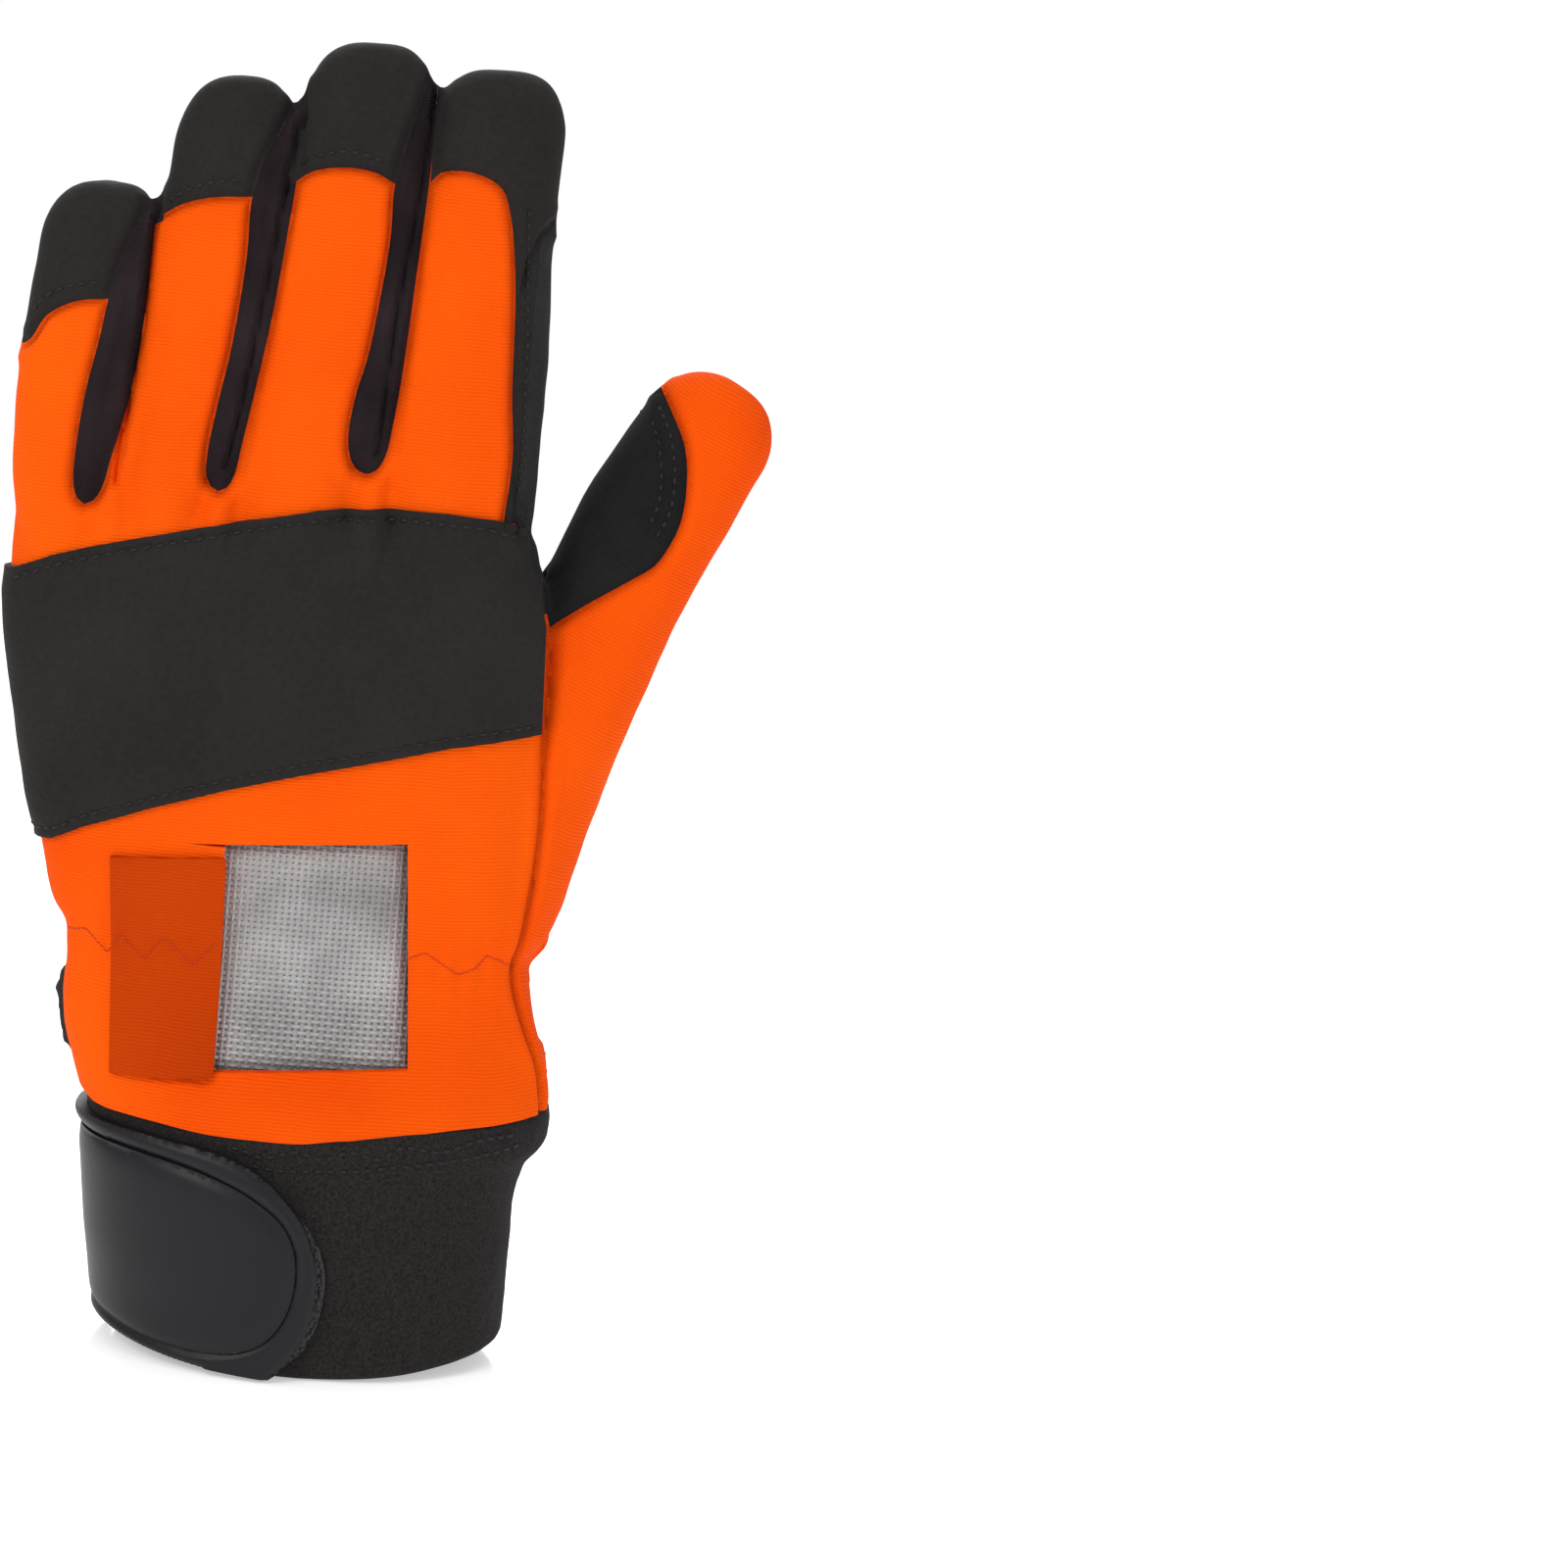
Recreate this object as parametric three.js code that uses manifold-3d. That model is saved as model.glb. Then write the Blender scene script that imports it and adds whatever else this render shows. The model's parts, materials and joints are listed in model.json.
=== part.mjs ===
import * as THREE from 'three';
import { mergeVertices } from 'three/addons/utils/BufferGeometryUtils.js';
import Module from 'manifold-3d';

// A padded left-hand work glove with the fingers up. Millimetres. The origin is the middle of the
// wrist opening at the hem, +X the thumb side, -Y the back of the hand, +Z the fingers.

// Overall sizes
const glove_length = 253.4;
const glove_width = 144;
const hand_thickness = 38;
const cuff_height = 47;
const cuff_depth = 62;
const hem_sag = 4;

// Thicknesses
const wall_thickness = 2;
const band_thickness = 1.6;
const palm_pad_thickness = 1.8;
const finger_pad_thickness = 1.4;
const flap_thickness = 2;
const mesh_thickness = 0.8;
const hook_tape_thickness = 0.8;
const strap_thickness = 2;
const strap_patch_thickness = 0.8;

// Gaps, margins and positions
const seam_gap = 0.3;
const finger_gap = 0.4;
const finger_curl = 8;
const palm_panel_inset = 2.5;
const thumb_rim_width = 4.4;
const mesh_margin = 6;
const side_seam_y = 4;

// Tables are written for a glove of the sizes above and stretched by these three shares; heights are
// stretched from the top of the cuff, which the hand stands on
const across = (x) => x * glove_width / 144;
const deep = (y) => y * hand_thickness / 38;
const up = (z) => cuff_height + (z - 47) * (glove_length - cuff_height) / 206.4;

// Hand: height, middle, half width, and depth from the middle to the back and to the palm
const hand_table = [
  { z: 44, x: 0.2, half_width: 45.4, back: 28.4, palm: 28.4 },
  { z: 50, x: -0.9, half_width: 46.1, back: 27, palm: 27 },
  { z: 58, x: -2.9, half_width: 46.8, back: 23, palm: 24 },
  { z: 66, x: -4.9, half_width: 46.3, back: 19.6, palm: 21 },
  { z: 74, x: -5.8, half_width: 45.5, back: 17.4, palm: 19 },
  { z: 82, x: -7.2, half_width: 46.6, back: 17.2, palm: 19 },
  { z: 96, x: -9.2, half_width: 48.2, back: 18.6, palm: 20 },
  { z: 120, x: -12, half_width: 50.7, back: 19.3, palm: 19.8 },
  { z: 146, x: -15.2, half_width: 52, back: 17.8, palm: 18.4 },
  { z: 156, x: -16.4, half_width: 50.6, back: 14.6, palm: 15 },
  { z: 164, x: -17, half_width: 48, back: 9.4, palm: 9.4 },
];
const hand_top = { x: -17, z: 167 };

// Fingers: height, middle, half width and half depth; the end is a rounded dome up to tip_z
const finger_table = {
  little: { tip_x: -54.2, tip_z: 222.6, rows: [
    { z: 136, x: -52, half_width: 9, half_depth: 12 },
    { z: 166, x: -58, half_width: 9.8, half_depth: 11.4 },
    { z: 184, x: -57.6, half_width: 10.9, half_depth: 10.8 },
    { z: 208, x: -55.8, half_width: 10.7, half_depth: 10.2 }] },
  ring: { tip_x: -30.2, tip_z: 244.8, rows: [
    { z: 136, x: -36, half_width: 9, half_depth: 14.6 },
    { z: 166, x: -38.1, half_width: 9.8, half_depth: 12.8 },
    { z: 184, x: -36, half_width: 10.5, half_depth: 11.6 },
    { z: 204, x: -34.1, half_width: 11.1, half_depth: 11.3 },
    { z: 225, x: -31.9, half_width: 11.3, half_depth: 10.8 }] },
  middle: { tip_x: -5.6, tip_z: 253.4, rows: [
    { z: 136, x: -14, half_width: 12, half_depth: 15.6 },
    { z: 166, x: -14, half_width: 13.9, half_depth: 13.6 },
    { z: 184, x: -12, half_width: 13.3, half_depth: 12.4 },
    { z: 212, x: -9.4, half_width: 12.4, half_depth: 11.9 },
    { z: 236, x: -6.9, half_width: 12.2, half_depth: 11.2 }] },
  index: { tip_x: 18.8, tip_z: 250.8, rows: [
    { z: 136, x: 14, half_width: 12, half_depth: 15.2 },
    { z: 168, x: 16, half_width: 15.8, half_depth: 13.4 },
    { z: 184, x: 16.6, half_width: 15.1, half_depth: 12.4 },
    { z: 212, x: 17.2, half_width: 13.8, half_depth: 11.9 },
    { z: 234, x: 18.7, half_width: 12.5, half_depth: 11.4 }] },
};

// Thumb: middle of each section, half width across it and half depth
const thumb_table = [
  { x: 16, y: 1, z: 58, half_width: 13, half_depth: 10 },
  { x: 22, y: 4, z: 78, half_width: 17, half_depth: 15 },
  { x: 27, y: 6, z: 94, half_width: 18, half_depth: 16.4 },
  { x: 33.4, y: 8, z: 114, half_width: 17, half_depth: 16 },
  { x: 41, y: 9.5, z: 134.4, half_width: 15.3, half_depth: 14.5 },
  { x: 47.6, y: 10.5, z: 148.4, half_width: 13.7, half_depth: 13.4 },
  { x: 55, y: 11, z: 166.4, half_width: 14, half_depth: 12.8 },
  { x: 63.3, y: 12, z: 182.4, half_width: 13, half_depth: 12 },
];
const thumb_tip_height = 13.4;

// Cuff: height, middle and half width; the depth is shared
const cuff_table = [
  { z: 0, x: 1.2, half_width: 38.6, depth_share: 1 },
  { z: 8, x: 1.2, half_width: 38.9, depth_share: 1 },
  { z: 22, x: 0.2, half_width: 40, depth_share: 0.98 },
  { z: 36, x: -0.4, half_width: 41.6, depth_share: 0.94 },
  { z: 42, x: 0.4, half_width: 44, depth_share: 0.92 },
  { z: 47, x: 0.2, half_width: 45.4, depth_share: 0.916 },
];

// Outlines as seen from the back of the hand, [x, z]
const window_outline = [[-21.5, 57], [16.9, 60.1], [13.1, 103.7], [-21.5, 100.7]];
const flap_outline = [[-43.2, 96.8], [-39.9, 54.1], [-22, 56], [-22.2, 98.8]];
const band_outline = [[-80, 144], [-66, 148.6], [-58.8, 152.3], [-49.6, 155.4], [-29.4, 161.4],
  [-8.9, 166.5], [2.3, 167.9], [15.4, 168.7], [33.6, 169.4], [36, 150], [37, 125.6], [19.5, 122.8],
  [5.6, 119.3], [-8.5, 115.6], [-22.3, 111.5], [-36.3, 106.4], [-49, 100.9], [-55.3, 97.1], [-80, 93]];
const back_thumb_seam = [[34.6, 158], [35.4, 150], [36.7, 145.9], [37.9, 122.9], [38.6, 102.4],
  [37.3, 87.2], [36.5, 80], [36.5, 75.1], [39.2, 67.2], [43.1, 55.5], [44, 40]];
const patch_back = [[54.3, 192.5], [57.1, 187.7], [59.6, 182.3], [60.6, 173.6], [60, 167.6],
  [58.5, 163.6], [55.9, 159.3], [51.4, 156], [44.1, 151], [36.8, 145.5], [35.4, 150], [34, 158],
  [33.2, 172], [40, 198], [50, 200]];
const patch_palm = [[54.3, 192.5], [57, 184], [55.5, 172], [51, 159], [44, 147], [36, 137], [26, 129],
  [28, 138], [31.4, 148], [33, 158], [33.2, 172], [40, 198], [50, 200]];
const cap_outline = {
  little: [[-75, 188], [-66.9, 191.5], [-63.5, 197], [-58, 200.3], [-50, 201.4], [-45.3, 202],
    [-45, 230], [-75, 230]],
  ring: [[-45, 216], [-43.4, 217.6], [-39.8, 220.2], [-34.4, 222.1], [-20.9, 223], [-18.7, 241],
    [-19, 250], [-45, 250]],
  middle: [[-20.6, 225], [-19.3, 226], [-16.2, 228.5], [-10.6, 230.1], [-4, 229.7], [-0.1, 227.8],
    [2, 238], [5.5, 251], [5, 260], [-18.9, 260], [-18.9, 241]],
  index: [[6.4, 228.5], [8.1, 230.5], [12.6, 231.5], [16.9, 230.8], [20.1, 228.9], [21.6, 225.7],
    [22.9, 220.1], [24.3, 208.9], [25.4, 190], [26.5, 178.6], [25.9, 166], [40, 166], [40, 260],
    [6.2, 260], [6.2, 243]],
};
const gusset_outline = {
  little_ring: [[-51.8, 202.5], [-53.2, 194.1], [-55.1, 182.6], [-56, 170.3], [-55.1, 165.5], [-53.1, 163],
    [-51, 164.9], [-49.4, 170.9], [-46.8, 183.3], [-45.3, 198.8], [-45, 210.1], [-44.6, 224],
    [-45.3, 224], [-46, 202.5]],
  ring_middle: [[-26.3, 224], [-26.9, 211.8], [-28.3, 194.6], [-30.2, 182.2], [-31.2, 173.5],
    [-31.1, 169.6], [-28.5, 168.1], [-25.9, 170.1], [-24.9, 176], [-23.1, 187.5], [-21.2, 200.9],
    [-19.7, 216.2], [-18.9, 226], [-18.5, 243], [-19, 243], [-20.9, 224]],
  middle_index: [[5.5, 252], [2, 238], [-0.2, 228], [-0.2, 218], [-1.1, 206.7], [-2.5, 195.2],
    [-4.2, 187.4], [-4.9, 180.6], [-4.2, 176], [-1.2, 173.8], [2.5, 176.6], [3.3, 182.3], [4.1, 190.1],
    [4.7, 199.6], [5.4, 213], [6.2, 229], [6.5, 244], [6.5, 252]],
};
// Creases between neighbouring fingers, from the palm crotch up
const crease_outline = {
  little_ring: [[-48.4, 158], [-48.2, 166], [-46.8, 184], [-45.4, 204], [-45, 224]],
  ring_middle: [[-28.2, 159], [-28.2, 166], [-25.5, 184], [-23, 204], [-20.7, 224], [-18.8, 244]],
  middle_index: [[0.2, 160], [0.2, 168], [1.3, 184], [2.4, 204], [4.2, 222], [6.5, 250]],
};
const crease_half_width = 3;

// Palm pads, [x, z]
const knuckle_pad_outline = [[-63, 138], [-63.6, 155], [-60, 157], [-50, 156.5], [-44, 155.2], [-38, 155.6],
  [-30, 159.4], [-24, 160.4], [-17, 158.8], [-8, 159], [0, 160], [6, 158.2], [12, 156], [17, 156.4],
  [24, 159], [29, 159.4], [32.4, 157], [34, 152], [34, 146], [31, 142], [20, 141.5], [5, 142],
  [-14, 141], [-33, 139.4], [-47, 138]];
const ridge_pad_outline = [[-57.6, 103], [-58.6, 117], [-44, 117.7], [-30, 119], [-19, 122.7],
  [-7.5, 128.5], [4, 134.4], [14, 138], [21, 139], [24.4, 136], [24.7, 131], [13, 124], [-1.8, 116.4],
  [-16.6, 109.6], [-31, 105], [-44, 102.5]];
const heel_pad_outline = [[-54.4, 91.4], [-57, 101.4], [-44, 101.1], [-31, 103.6], [-16.6, 108.2],
  [-1.8, 115], [13, 122.6], [22, 127.4], [24, 124], [23.6, 113], [14.8, 110.5], [7, 107], [-1.9, 100.9],
  [-11.8, 94.9], [-21.7, 90.7], [-32, 89.6], [-44, 89.9]];
// Pads on the palm side of the fingers: middle, half width, bottom and top
const upper_pad_table = {
  little: { low_x: -57.4, high_x: -56.6, half_width: 8.2, bottom: 178, top: 199 },
  ring: { low_x: -36, high_x: -33.6, half_width: 8.6, bottom: 183, top: 217 },
  middle: { low_x: -12, high_x: -8.8, half_width: 10.2, bottom: 184.4, top: 220 },
  index: { low_x: 15.6, high_x: 17.2, half_width: 10.8, bottom: 186, top: 216 },
};
const lower_pad_table = {
  little: { low_x: -57.6, high_x: -57.8, half_width: 6.6, bottom: 160.6, top: 176 },
  ring: { low_x: -38, high_x: -36.4, half_width: 6.2, bottom: 163, top: 181.4 },
  middle: { low_x: -14, high_x: -12.4, half_width: 7.6, bottom: 163, top: 182.8 },
  index: { low_x: 17.4, high_x: 16.6, half_width: 11, bottom: 162.4, top: 184.4 },
};

// Strap on the cuff, seen from the back of the hand, [x, z]
const strap_outline = [[-60, 43.6], [-36.2, 44], [-24.8, 43.4], [-19.1, 42.8], [-13.4, 41.4], [-8.3, 38.8],
  [-4.2, 35.2], [-0.7, 31.2], [1.6, 26.4], [3, 21.4], [3, 16.1], [2.2, 10.9], [0.1, 6], [-2.6, 2],
  [-6, -0.6], [-12, -3], [-60, -3]];
const strap_patch_outline = [[-50, 40.4], [-40.3, 40.6], [-24.5, 39.4], [-16.8, 37.6], [-10.4, 34.9],
  [-4.4, 30.5], [-1.9, 26.1], [-1.1, 20.3], [-2.4, 13.1], [-5.7, 7.9], [-10.3, 5.2], [-17.8, 4],
  [-28, 4.6], [-38, 6.4], [-50, 8]];
const hook_tape_outline = [[-26, 40], [-16, 39], [-8, 37], [-2, 32.6], [2, 28], [4.4, 22], [4.6, 16],
  [3.4, 10], [0.4, 4.6], [-6, 1.6], [-26, 1.6]];

// Points round each section: hand and fingers, outside and inside
const hand_points = 24;
const finger_points = 12;
const hand_points_inside = 16;
const finger_points_inside = 8;

const wasm = await Module();
wasm.setup();

// Helpers: solids from geometry, lofts, and prisms cut from outlines
function solidFrom(positions, indices) {
  const plain = new THREE.BufferGeometry();
  plain.setAttribute('position', new THREE.BufferAttribute(new Float32Array(positions), 3));
  if (indices) plain.setIndex(indices);
  const merged = mergeVertices(plain, 1e-4);
  return new wasm.Manifold(new wasm.Mesh({
    numProp: 3,
    vertProperties: new Float32Array(merged.getAttribute('position').array),
    triVerts: new Uint32Array(merged.index.array),
  }));
}

function ring(centre, side, half_width, back, palm, exponent, count) {
  const points = [];
  for (let i = 0; i < count; i += 1) {
    const angle = 2 * Math.PI * (i + 0.5) / count;
    const c = Math.cos(angle);
    const s = Math.sin(angle);
    const across_part = half_width * Math.sign(c) * Math.abs(c) ** (2 / exponent);
    const deep_part = (s < 0 ? back : palm) * Math.sign(s) * Math.abs(s) ** (2 / exponent);
    points.push(new THREE.Vector3(
      centre.x + side.x * across_part, centre.y + deep_part, centre.z + side.z * across_part));
  }
  return points;
}

function loft(rings, bottom_point, top_point) {
  const count = rings[0].length;
  const points = rings.flat().concat([bottom_point, top_point]);
  const bottom = points.length - 2;
  const top = points.length - 1;
  const last = (rings.length - 1) * count;
  const indices = [];
  for (let j = 0; j < count; j += 1) {
    const k = (j + 1) % count;
    for (let i = 0; i < rings.length - 1; i += 1) {
      const a = i * count;
      const b = a + count;
      indices.push(a + j, a + k, b + k, a + j, b + k, b + j);
    }
    indices.push(bottom, k, j, top, last + j, last + k);
  }
  return solidFrom(points.flatMap((p) => [p.x, p.y, p.z]), indices);
}

function tube(outer, inner) {
  const count = outer[0].length;
  const rings = outer.concat([...inner].reverse());
  const indices = [];
  for (let i = 0; i < rings.length; i += 1) {
    const a = i * count;
    const b = ((i + 1) % rings.length) * count;
    for (let j = 0; j < count; j += 1) {
      const k = (j + 1) % count;
      indices.push(a + j, a + k, b + k, a + j, b + k, b + j);
    }
  }
  return solidFrom(rings.flat().flatMap((p) => [p.x, p.y, p.z]), indices);
}

function grow(outline, distance) {
  const points = outline.map(([x, z]) => new THREE.Vector2(x, z));
  const turn = THREE.ShapeUtils.area(points) > 0 ? 1 : -1;
  return points.map((point, i) => {
    const before = points[(i + points.length - 1) % points.length];
    const after = points[(i + 1) % points.length];
    const a = point.clone().sub(before).normalize();
    const b = after.clone().sub(point).normalize();
    const normal = new THREE.Vector2(a.y + b.y, -a.x - b.x).normalize().multiplyScalar(turn);
    const miter = Math.max(0.5, normal.dot(new THREE.Vector2(a.y, -a.x).multiplyScalar(turn)));
    return [point.x + normal.x * distance / miter, point.y + normal.y * distance / miter];
  });
}

// Prism of an [x, z] outline, from y_from to y_to
function prism(outline, y_from, y_to) {
  const shape = new THREE.Shape(outline.map(([x, z]) => new THREE.Vector2(x, z)));
  const geometry = new THREE.ExtrudeGeometry(shape, { depth: y_to - y_from, bevelEnabled: false });
  geometry.applyMatrix4(new THREE.Matrix4().set(1, 0, 0, 0, 0, 0, -1, y_to, 0, 1, 0, 0, 0, 0, 0, 1));
  return solidFrom(geometry.getAttribute('position').array);
}

// Everything on the palm side of a line y over z, across the whole glove
function palmSide(line, shift) {
  const outline = [...line.map(([y, z]) => [y + shift, z]), [120, line[line.length - 1][1]], [120, line[0][1]]];
  const shape = new THREE.Shape(outline.map(([y, z]) => new THREE.Vector2(y, z)));
  const geometry = new THREE.ExtrudeGeometry(shape, { depth: 400, bevelEnabled: false });
  geometry.translate(0, 0, -200);
  geometry.applyMatrix4(new THREE.Matrix4().set(0, 0, 1, 0, 1, 0, 0, 0, 0, 1, 0, 0, 0, 0, 0, 1));
  return solidFrom(geometry.getAttribute('position').array);
}

const stretch = (outline) => outline.map(([x, z]) => [across(x), up(z)]);
const join = (solids) => solids.reduce((a, b) => a.add(b));
const largest = (solid) => solid.decompose().sort((a, b) => b.volume() - a.volume())[0];

const knuckle_z = 160;
function curl(z, tip_z) {
  const share = Math.max(0, (z - knuckle_z) / (tip_z - knuckle_z));
  return finger_curl * share * share;
}
const straight = new THREE.Vector3(1, 0, 0);
const dome_shares = [0.45, 0.76, 0.94];

function fingerForm(finger, offset, count) {
  const rings = finger.rows.map((row) => ring(
    new THREE.Vector3(across(row.x), deep(curl(row.z, finger.tip_z)), up(row.z)), straight,
    across(row.half_width) - (finger_gap - 0.2) / 2 + offset, deep(row.half_depth) + offset,
    deep(row.half_depth) + offset, 2.2, count));
  const base = finger.rows[finger.rows.length - 1];
  const height = up(finger.tip_z) + offset - up(base.z);
  for (const share of dome_shares) {
    const narrow = (1 - share ** 2.3) ** (1 / 2.3);
    const z = up(base.z) + height * share;
    const lean = share * share;
    rings.push(ring(
      new THREE.Vector3(across(base.x + (finger.tip_x - base.x) * lean),
        deep(curl(base.z + (finger.tip_z - base.z) * share, finger.tip_z)), z), straight,
      (across(base.half_width) - (finger_gap - 0.2) / 2 + offset) * narrow,
      (deep(base.half_depth) + offset) * narrow, (deep(base.half_depth) + offset) * narrow, 2.2, count));
  }
  const foot = finger.rows[0];
  return loft(rings, new THREE.Vector3(across(foot.x), 0, up(foot.z)),
    new THREE.Vector3(across(finger.tip_x), deep(finger_curl), up(base.z) + height));
}

function handForm(offset, count) {
  const rings = hand_table.map((row) => ring(
    new THREE.Vector3(across(row.x), 0, up(row.z)), straight, across(row.half_width) + offset,
    deep(row.back) + offset, deep(row.palm) + offset, 2.35, count));
  return loft(rings, new THREE.Vector3(0, 0, up(hand_table[0].z)),
    new THREE.Vector3(across(hand_top.x), 0, up(hand_top.z) + offset));
}

function thumbForm(offset, count) {
  const centres = thumb_table.map((row) => new THREE.Vector3(across(row.x), deep(row.y), up(row.z)));
  const sides = centres.map((_, i) => {
    const direction = centres[Math.min(i + 1, centres.length - 1)].clone().sub(centres[Math.max(i - 1, 0)]);
    return new THREE.Vector3(direction.z, 0, -direction.x).normalize();
  });
  const rings = thumb_table.map((row, i) => ring(centres[i], sides[i], across(row.half_width) + offset,
    deep(row.half_depth) + offset, deep(row.half_depth) + offset, 2.2, count));
  const end = thumb_table.length - 1;
  const axis = new THREE.Vector3(-sides[end].z, 0, sides[end].x);
  const height = up(thumb_tip_height) + offset;
  for (const share of dome_shares) {
    const narrow = (1 - share ** 2.3) ** (1 / 2.3);
    rings.push(ring(centres[end].clone().addScaledVector(axis, height * share), sides[end],
      (across(thumb_table[end].half_width) + offset) * narrow,
      (deep(thumb_table[end].half_depth) + offset) * narrow,
      (deep(thumb_table[end].half_depth) + offset) * narrow, 2.2, count));
  }
  return loft(rings, centres[0], centres[end].clone().addScaledVector(axis, height));
}

function form(offset, hand_count, finger_count) {
  return join([handForm(offset, hand_count), thumbForm(offset, finger_count + 2),
    ...Object.values(finger_table).map((finger) => fingerForm(finger, offset, finger_count))]);
}

// The hollow soft body, open at the wrist; the fingers, hand and thumb are one cavity
const above_cuff = prism([[-200, cuff_height + seam_gap], [200, cuff_height + seam_gap], [200, 400],
  [-200, 400]], -120, 120);
const shell = form(0, hand_points, finger_points)
  .subtract(form(-wall_thickness, hand_points_inside, finger_points_inside)).intersect(above_cuff);

// A layer lying on the body: from inner to inner + thickness above its surface
function layer(inner, thickness) {
  return form(inner + thickness, hand_points, finger_points)
    .subtract(form(inner, hand_points, finger_points)).intersect(above_cuff);
}

// Lines between the back half and the palm half, [y, z]
const finger_middle_line = [[2, 0], [2, 160], [2.5, 185], [3.6, 205], [6, 225], [9, 260]]
  .map(([y, z]) => [deep(y), up(z)]);
const thumb_middle_line = [[4, 0], [6, 94], [8, 114], [10.5, 148], [12, 182], [12, 260]]
  .map(([y, z]) => [deep(y), up(z)]);

// Palm panel outline: an arm for each finger and one for the thumb, inset from the silhouette
function fingerArm(finger, tip_inset) {
  const left = finger.rows.map((row) => [across(row.x - row.half_width) + palm_panel_inset, up(row.z)]);
  const right = finger.rows.map((row) => [across(row.x + row.half_width) - palm_panel_inset, up(row.z)]);
  const base = finger.rows[finger.rows.length - 1];
  const half = across(base.half_width) - palm_panel_inset;
  const height = up(finger.tip_z) - tip_inset - up(base.z);
  const arch = [0.35, 0.7, 0.92, 1].map((share) => [half * Math.sqrt(1 - share * share), share]);
  const lean = (share) => across(base.x + (finger.tip_x - base.x) * share * share);
  return [...left, ...arch.map(([w, s]) => [lean(s) - w, up(base.z) + height * s]),
    ...arch.slice(0, 3).reverse().map(([w, s]) => [lean(s) + w, up(base.z) + height * s]),
    ...right.reverse()];
}

const thumb_arm = thumb_table.map((row, i) => {
  const next = thumb_table[Math.min(i + 1, thumb_table.length - 1)];
  const previous = thumb_table[Math.max(i - 1, 0)];
  const side = new THREE.Vector2(next.z - previous.z, previous.x - next.x).normalize();
  const reach = row.half_width - thumb_rim_width;
  return [across(row.x + side.x * reach), up(row.z + side.y * reach)];
}).slice(1).concat(stretch([[75, 184], [71, 189], [66, 191.5], [60, 190], [50, 186], [36, 160], [10, 150],
  [0, 60], [30, 44]]));

const palm_body = hand_table.slice(0, 10).map((row) => [across(row.x - row.half_width) + palm_panel_inset,
  up(row.z)]).concat([[across(-57), up(161)], [across(30), up(163)]],
  hand_table.slice(0, 10).reverse().map((row) => [across(row.x + row.half_width) - palm_panel_inset,
    up(row.z)]));
const index_wrap = stretch([[28.2, 164], [28.2, 220], [31, 223], [40, 223], [40, 164]]);

const regions = {
  patch: (gap) => {
    const palm_half = palmSide(thumb_middle_line, -gap);
    const back_half = palmSide(thumb_middle_line, gap);
    return prism(grow(stretch(patch_back), gap), -120, 120).subtract(back_half)
      .add(prism(grow(stretch(patch_palm), gap), -120, 120).intersect(palm_half));
  },
  palm: (gap) => {
    const arms = join([prism(grow(palm_body, gap), -120, 120),
      ...Object.values(finger_table).map((finger) => prism(grow(fingerArm(finger, 3), gap), -120, 120))]);
    return arms.intersect(palmSide(finger_middle_line, -gap))
      .add(prism(grow(thumb_arm, gap), -120, 120).intersect(palmSide(thumb_middle_line, -gap)))
      .add(prism(grow(index_wrap, gap), -120, 120));
  },
};
for (const name of Object.keys(finger_table)) {
  regions[`cap_${name}`] = (gap) => prism(grow(stretch(cap_outline[name]), gap), -120, 120);
}
for (const name of Object.keys(gusset_outline)) {
  regions[`gusset_${name}`] = (gap) => {
    const crease = stretch(crease_outline[name]);
    const strip = crease.map(([x, z]) => [x - crease_half_width, z])
      .concat([...crease].reverse().map(([x, z]) => [x + crease_half_width, z]));
    return prism(grow(stretch(gusset_outline[name]), gap), -120, 120)
      .add(prism(grow(strip, gap), -120, 120).intersect(palmSide(finger_middle_line, -gap)));
  };
}
regions.thumb = (gap) => prism(grow(stretch([...back_thumb_seam, [100, 40], [100, 210], [34.6, 210]]), gap),
  -120, 120);

// Each piece takes its region less the regions of the pieces before it and their gaps
const pieces = {};
let taken = null;
for (const [name, region] of Object.entries(regions)) {
  const free = taken ? shell.subtract(taken) : shell;
  pieces[name] = largest(free.intersect(region(0)));
  taken = taken ? taken.add(region(seam_gap)) : region(seam_gap);
}
const front_half = [-120, 0];
pieces.back = largest(shell.subtract(taken)
  .subtract(prism(stretch(window_outline), ...front_half)));

// Layers sewn on the outside
const band_edge = prism(stretch([[-80, 93], [-60, 93], [-60, 137], [-80, 137]]), 0, deep(9));
const band = largest(layer(seam_gap, band_thickness).intersect(
  prism(stretch(band_outline), -120, deep(2.4)).add(prism(stretch(band_outline), 0, deep(9))
    .intersect(band_edge))));
const pad_layer = layer(seam_gap, palm_pad_thickness);
const palm_half = palmSide(finger_middle_line, 1);
const palmPad = (outline) => largest(pad_layer.intersect(prism(stretch(outline), -120, 120))
  .intersect(palm_half));
const finger_layer = layer(seam_gap, finger_pad_thickness);

function fingerPad(row, corner, arched) {
  const middle = (z) => row.low_x + (row.high_x - row.low_x) * (z - row.bottom) / (row.top - row.bottom);
  const low = arched ? 0.4 : corner;
  const outline = [[-1, row.bottom + low], [-1, row.top - corner], [-0.78, row.top - corner * 0.3],
    [-0.45, row.top], [0.45, row.top], [0.78, row.top - corner * 0.3], [1, row.top - corner],
    [1, row.bottom + low], [arched ? 0.98 : 0.45, row.bottom], [arched ? -0.98 : -0.45, row.bottom]]
    .map(([share, z]) => [middle(z) + share * row.half_width, z]);
  return largest(finger_layer.intersect(prism(stretch(outline), -120, 120)).intersect(palm_half));
}

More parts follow.
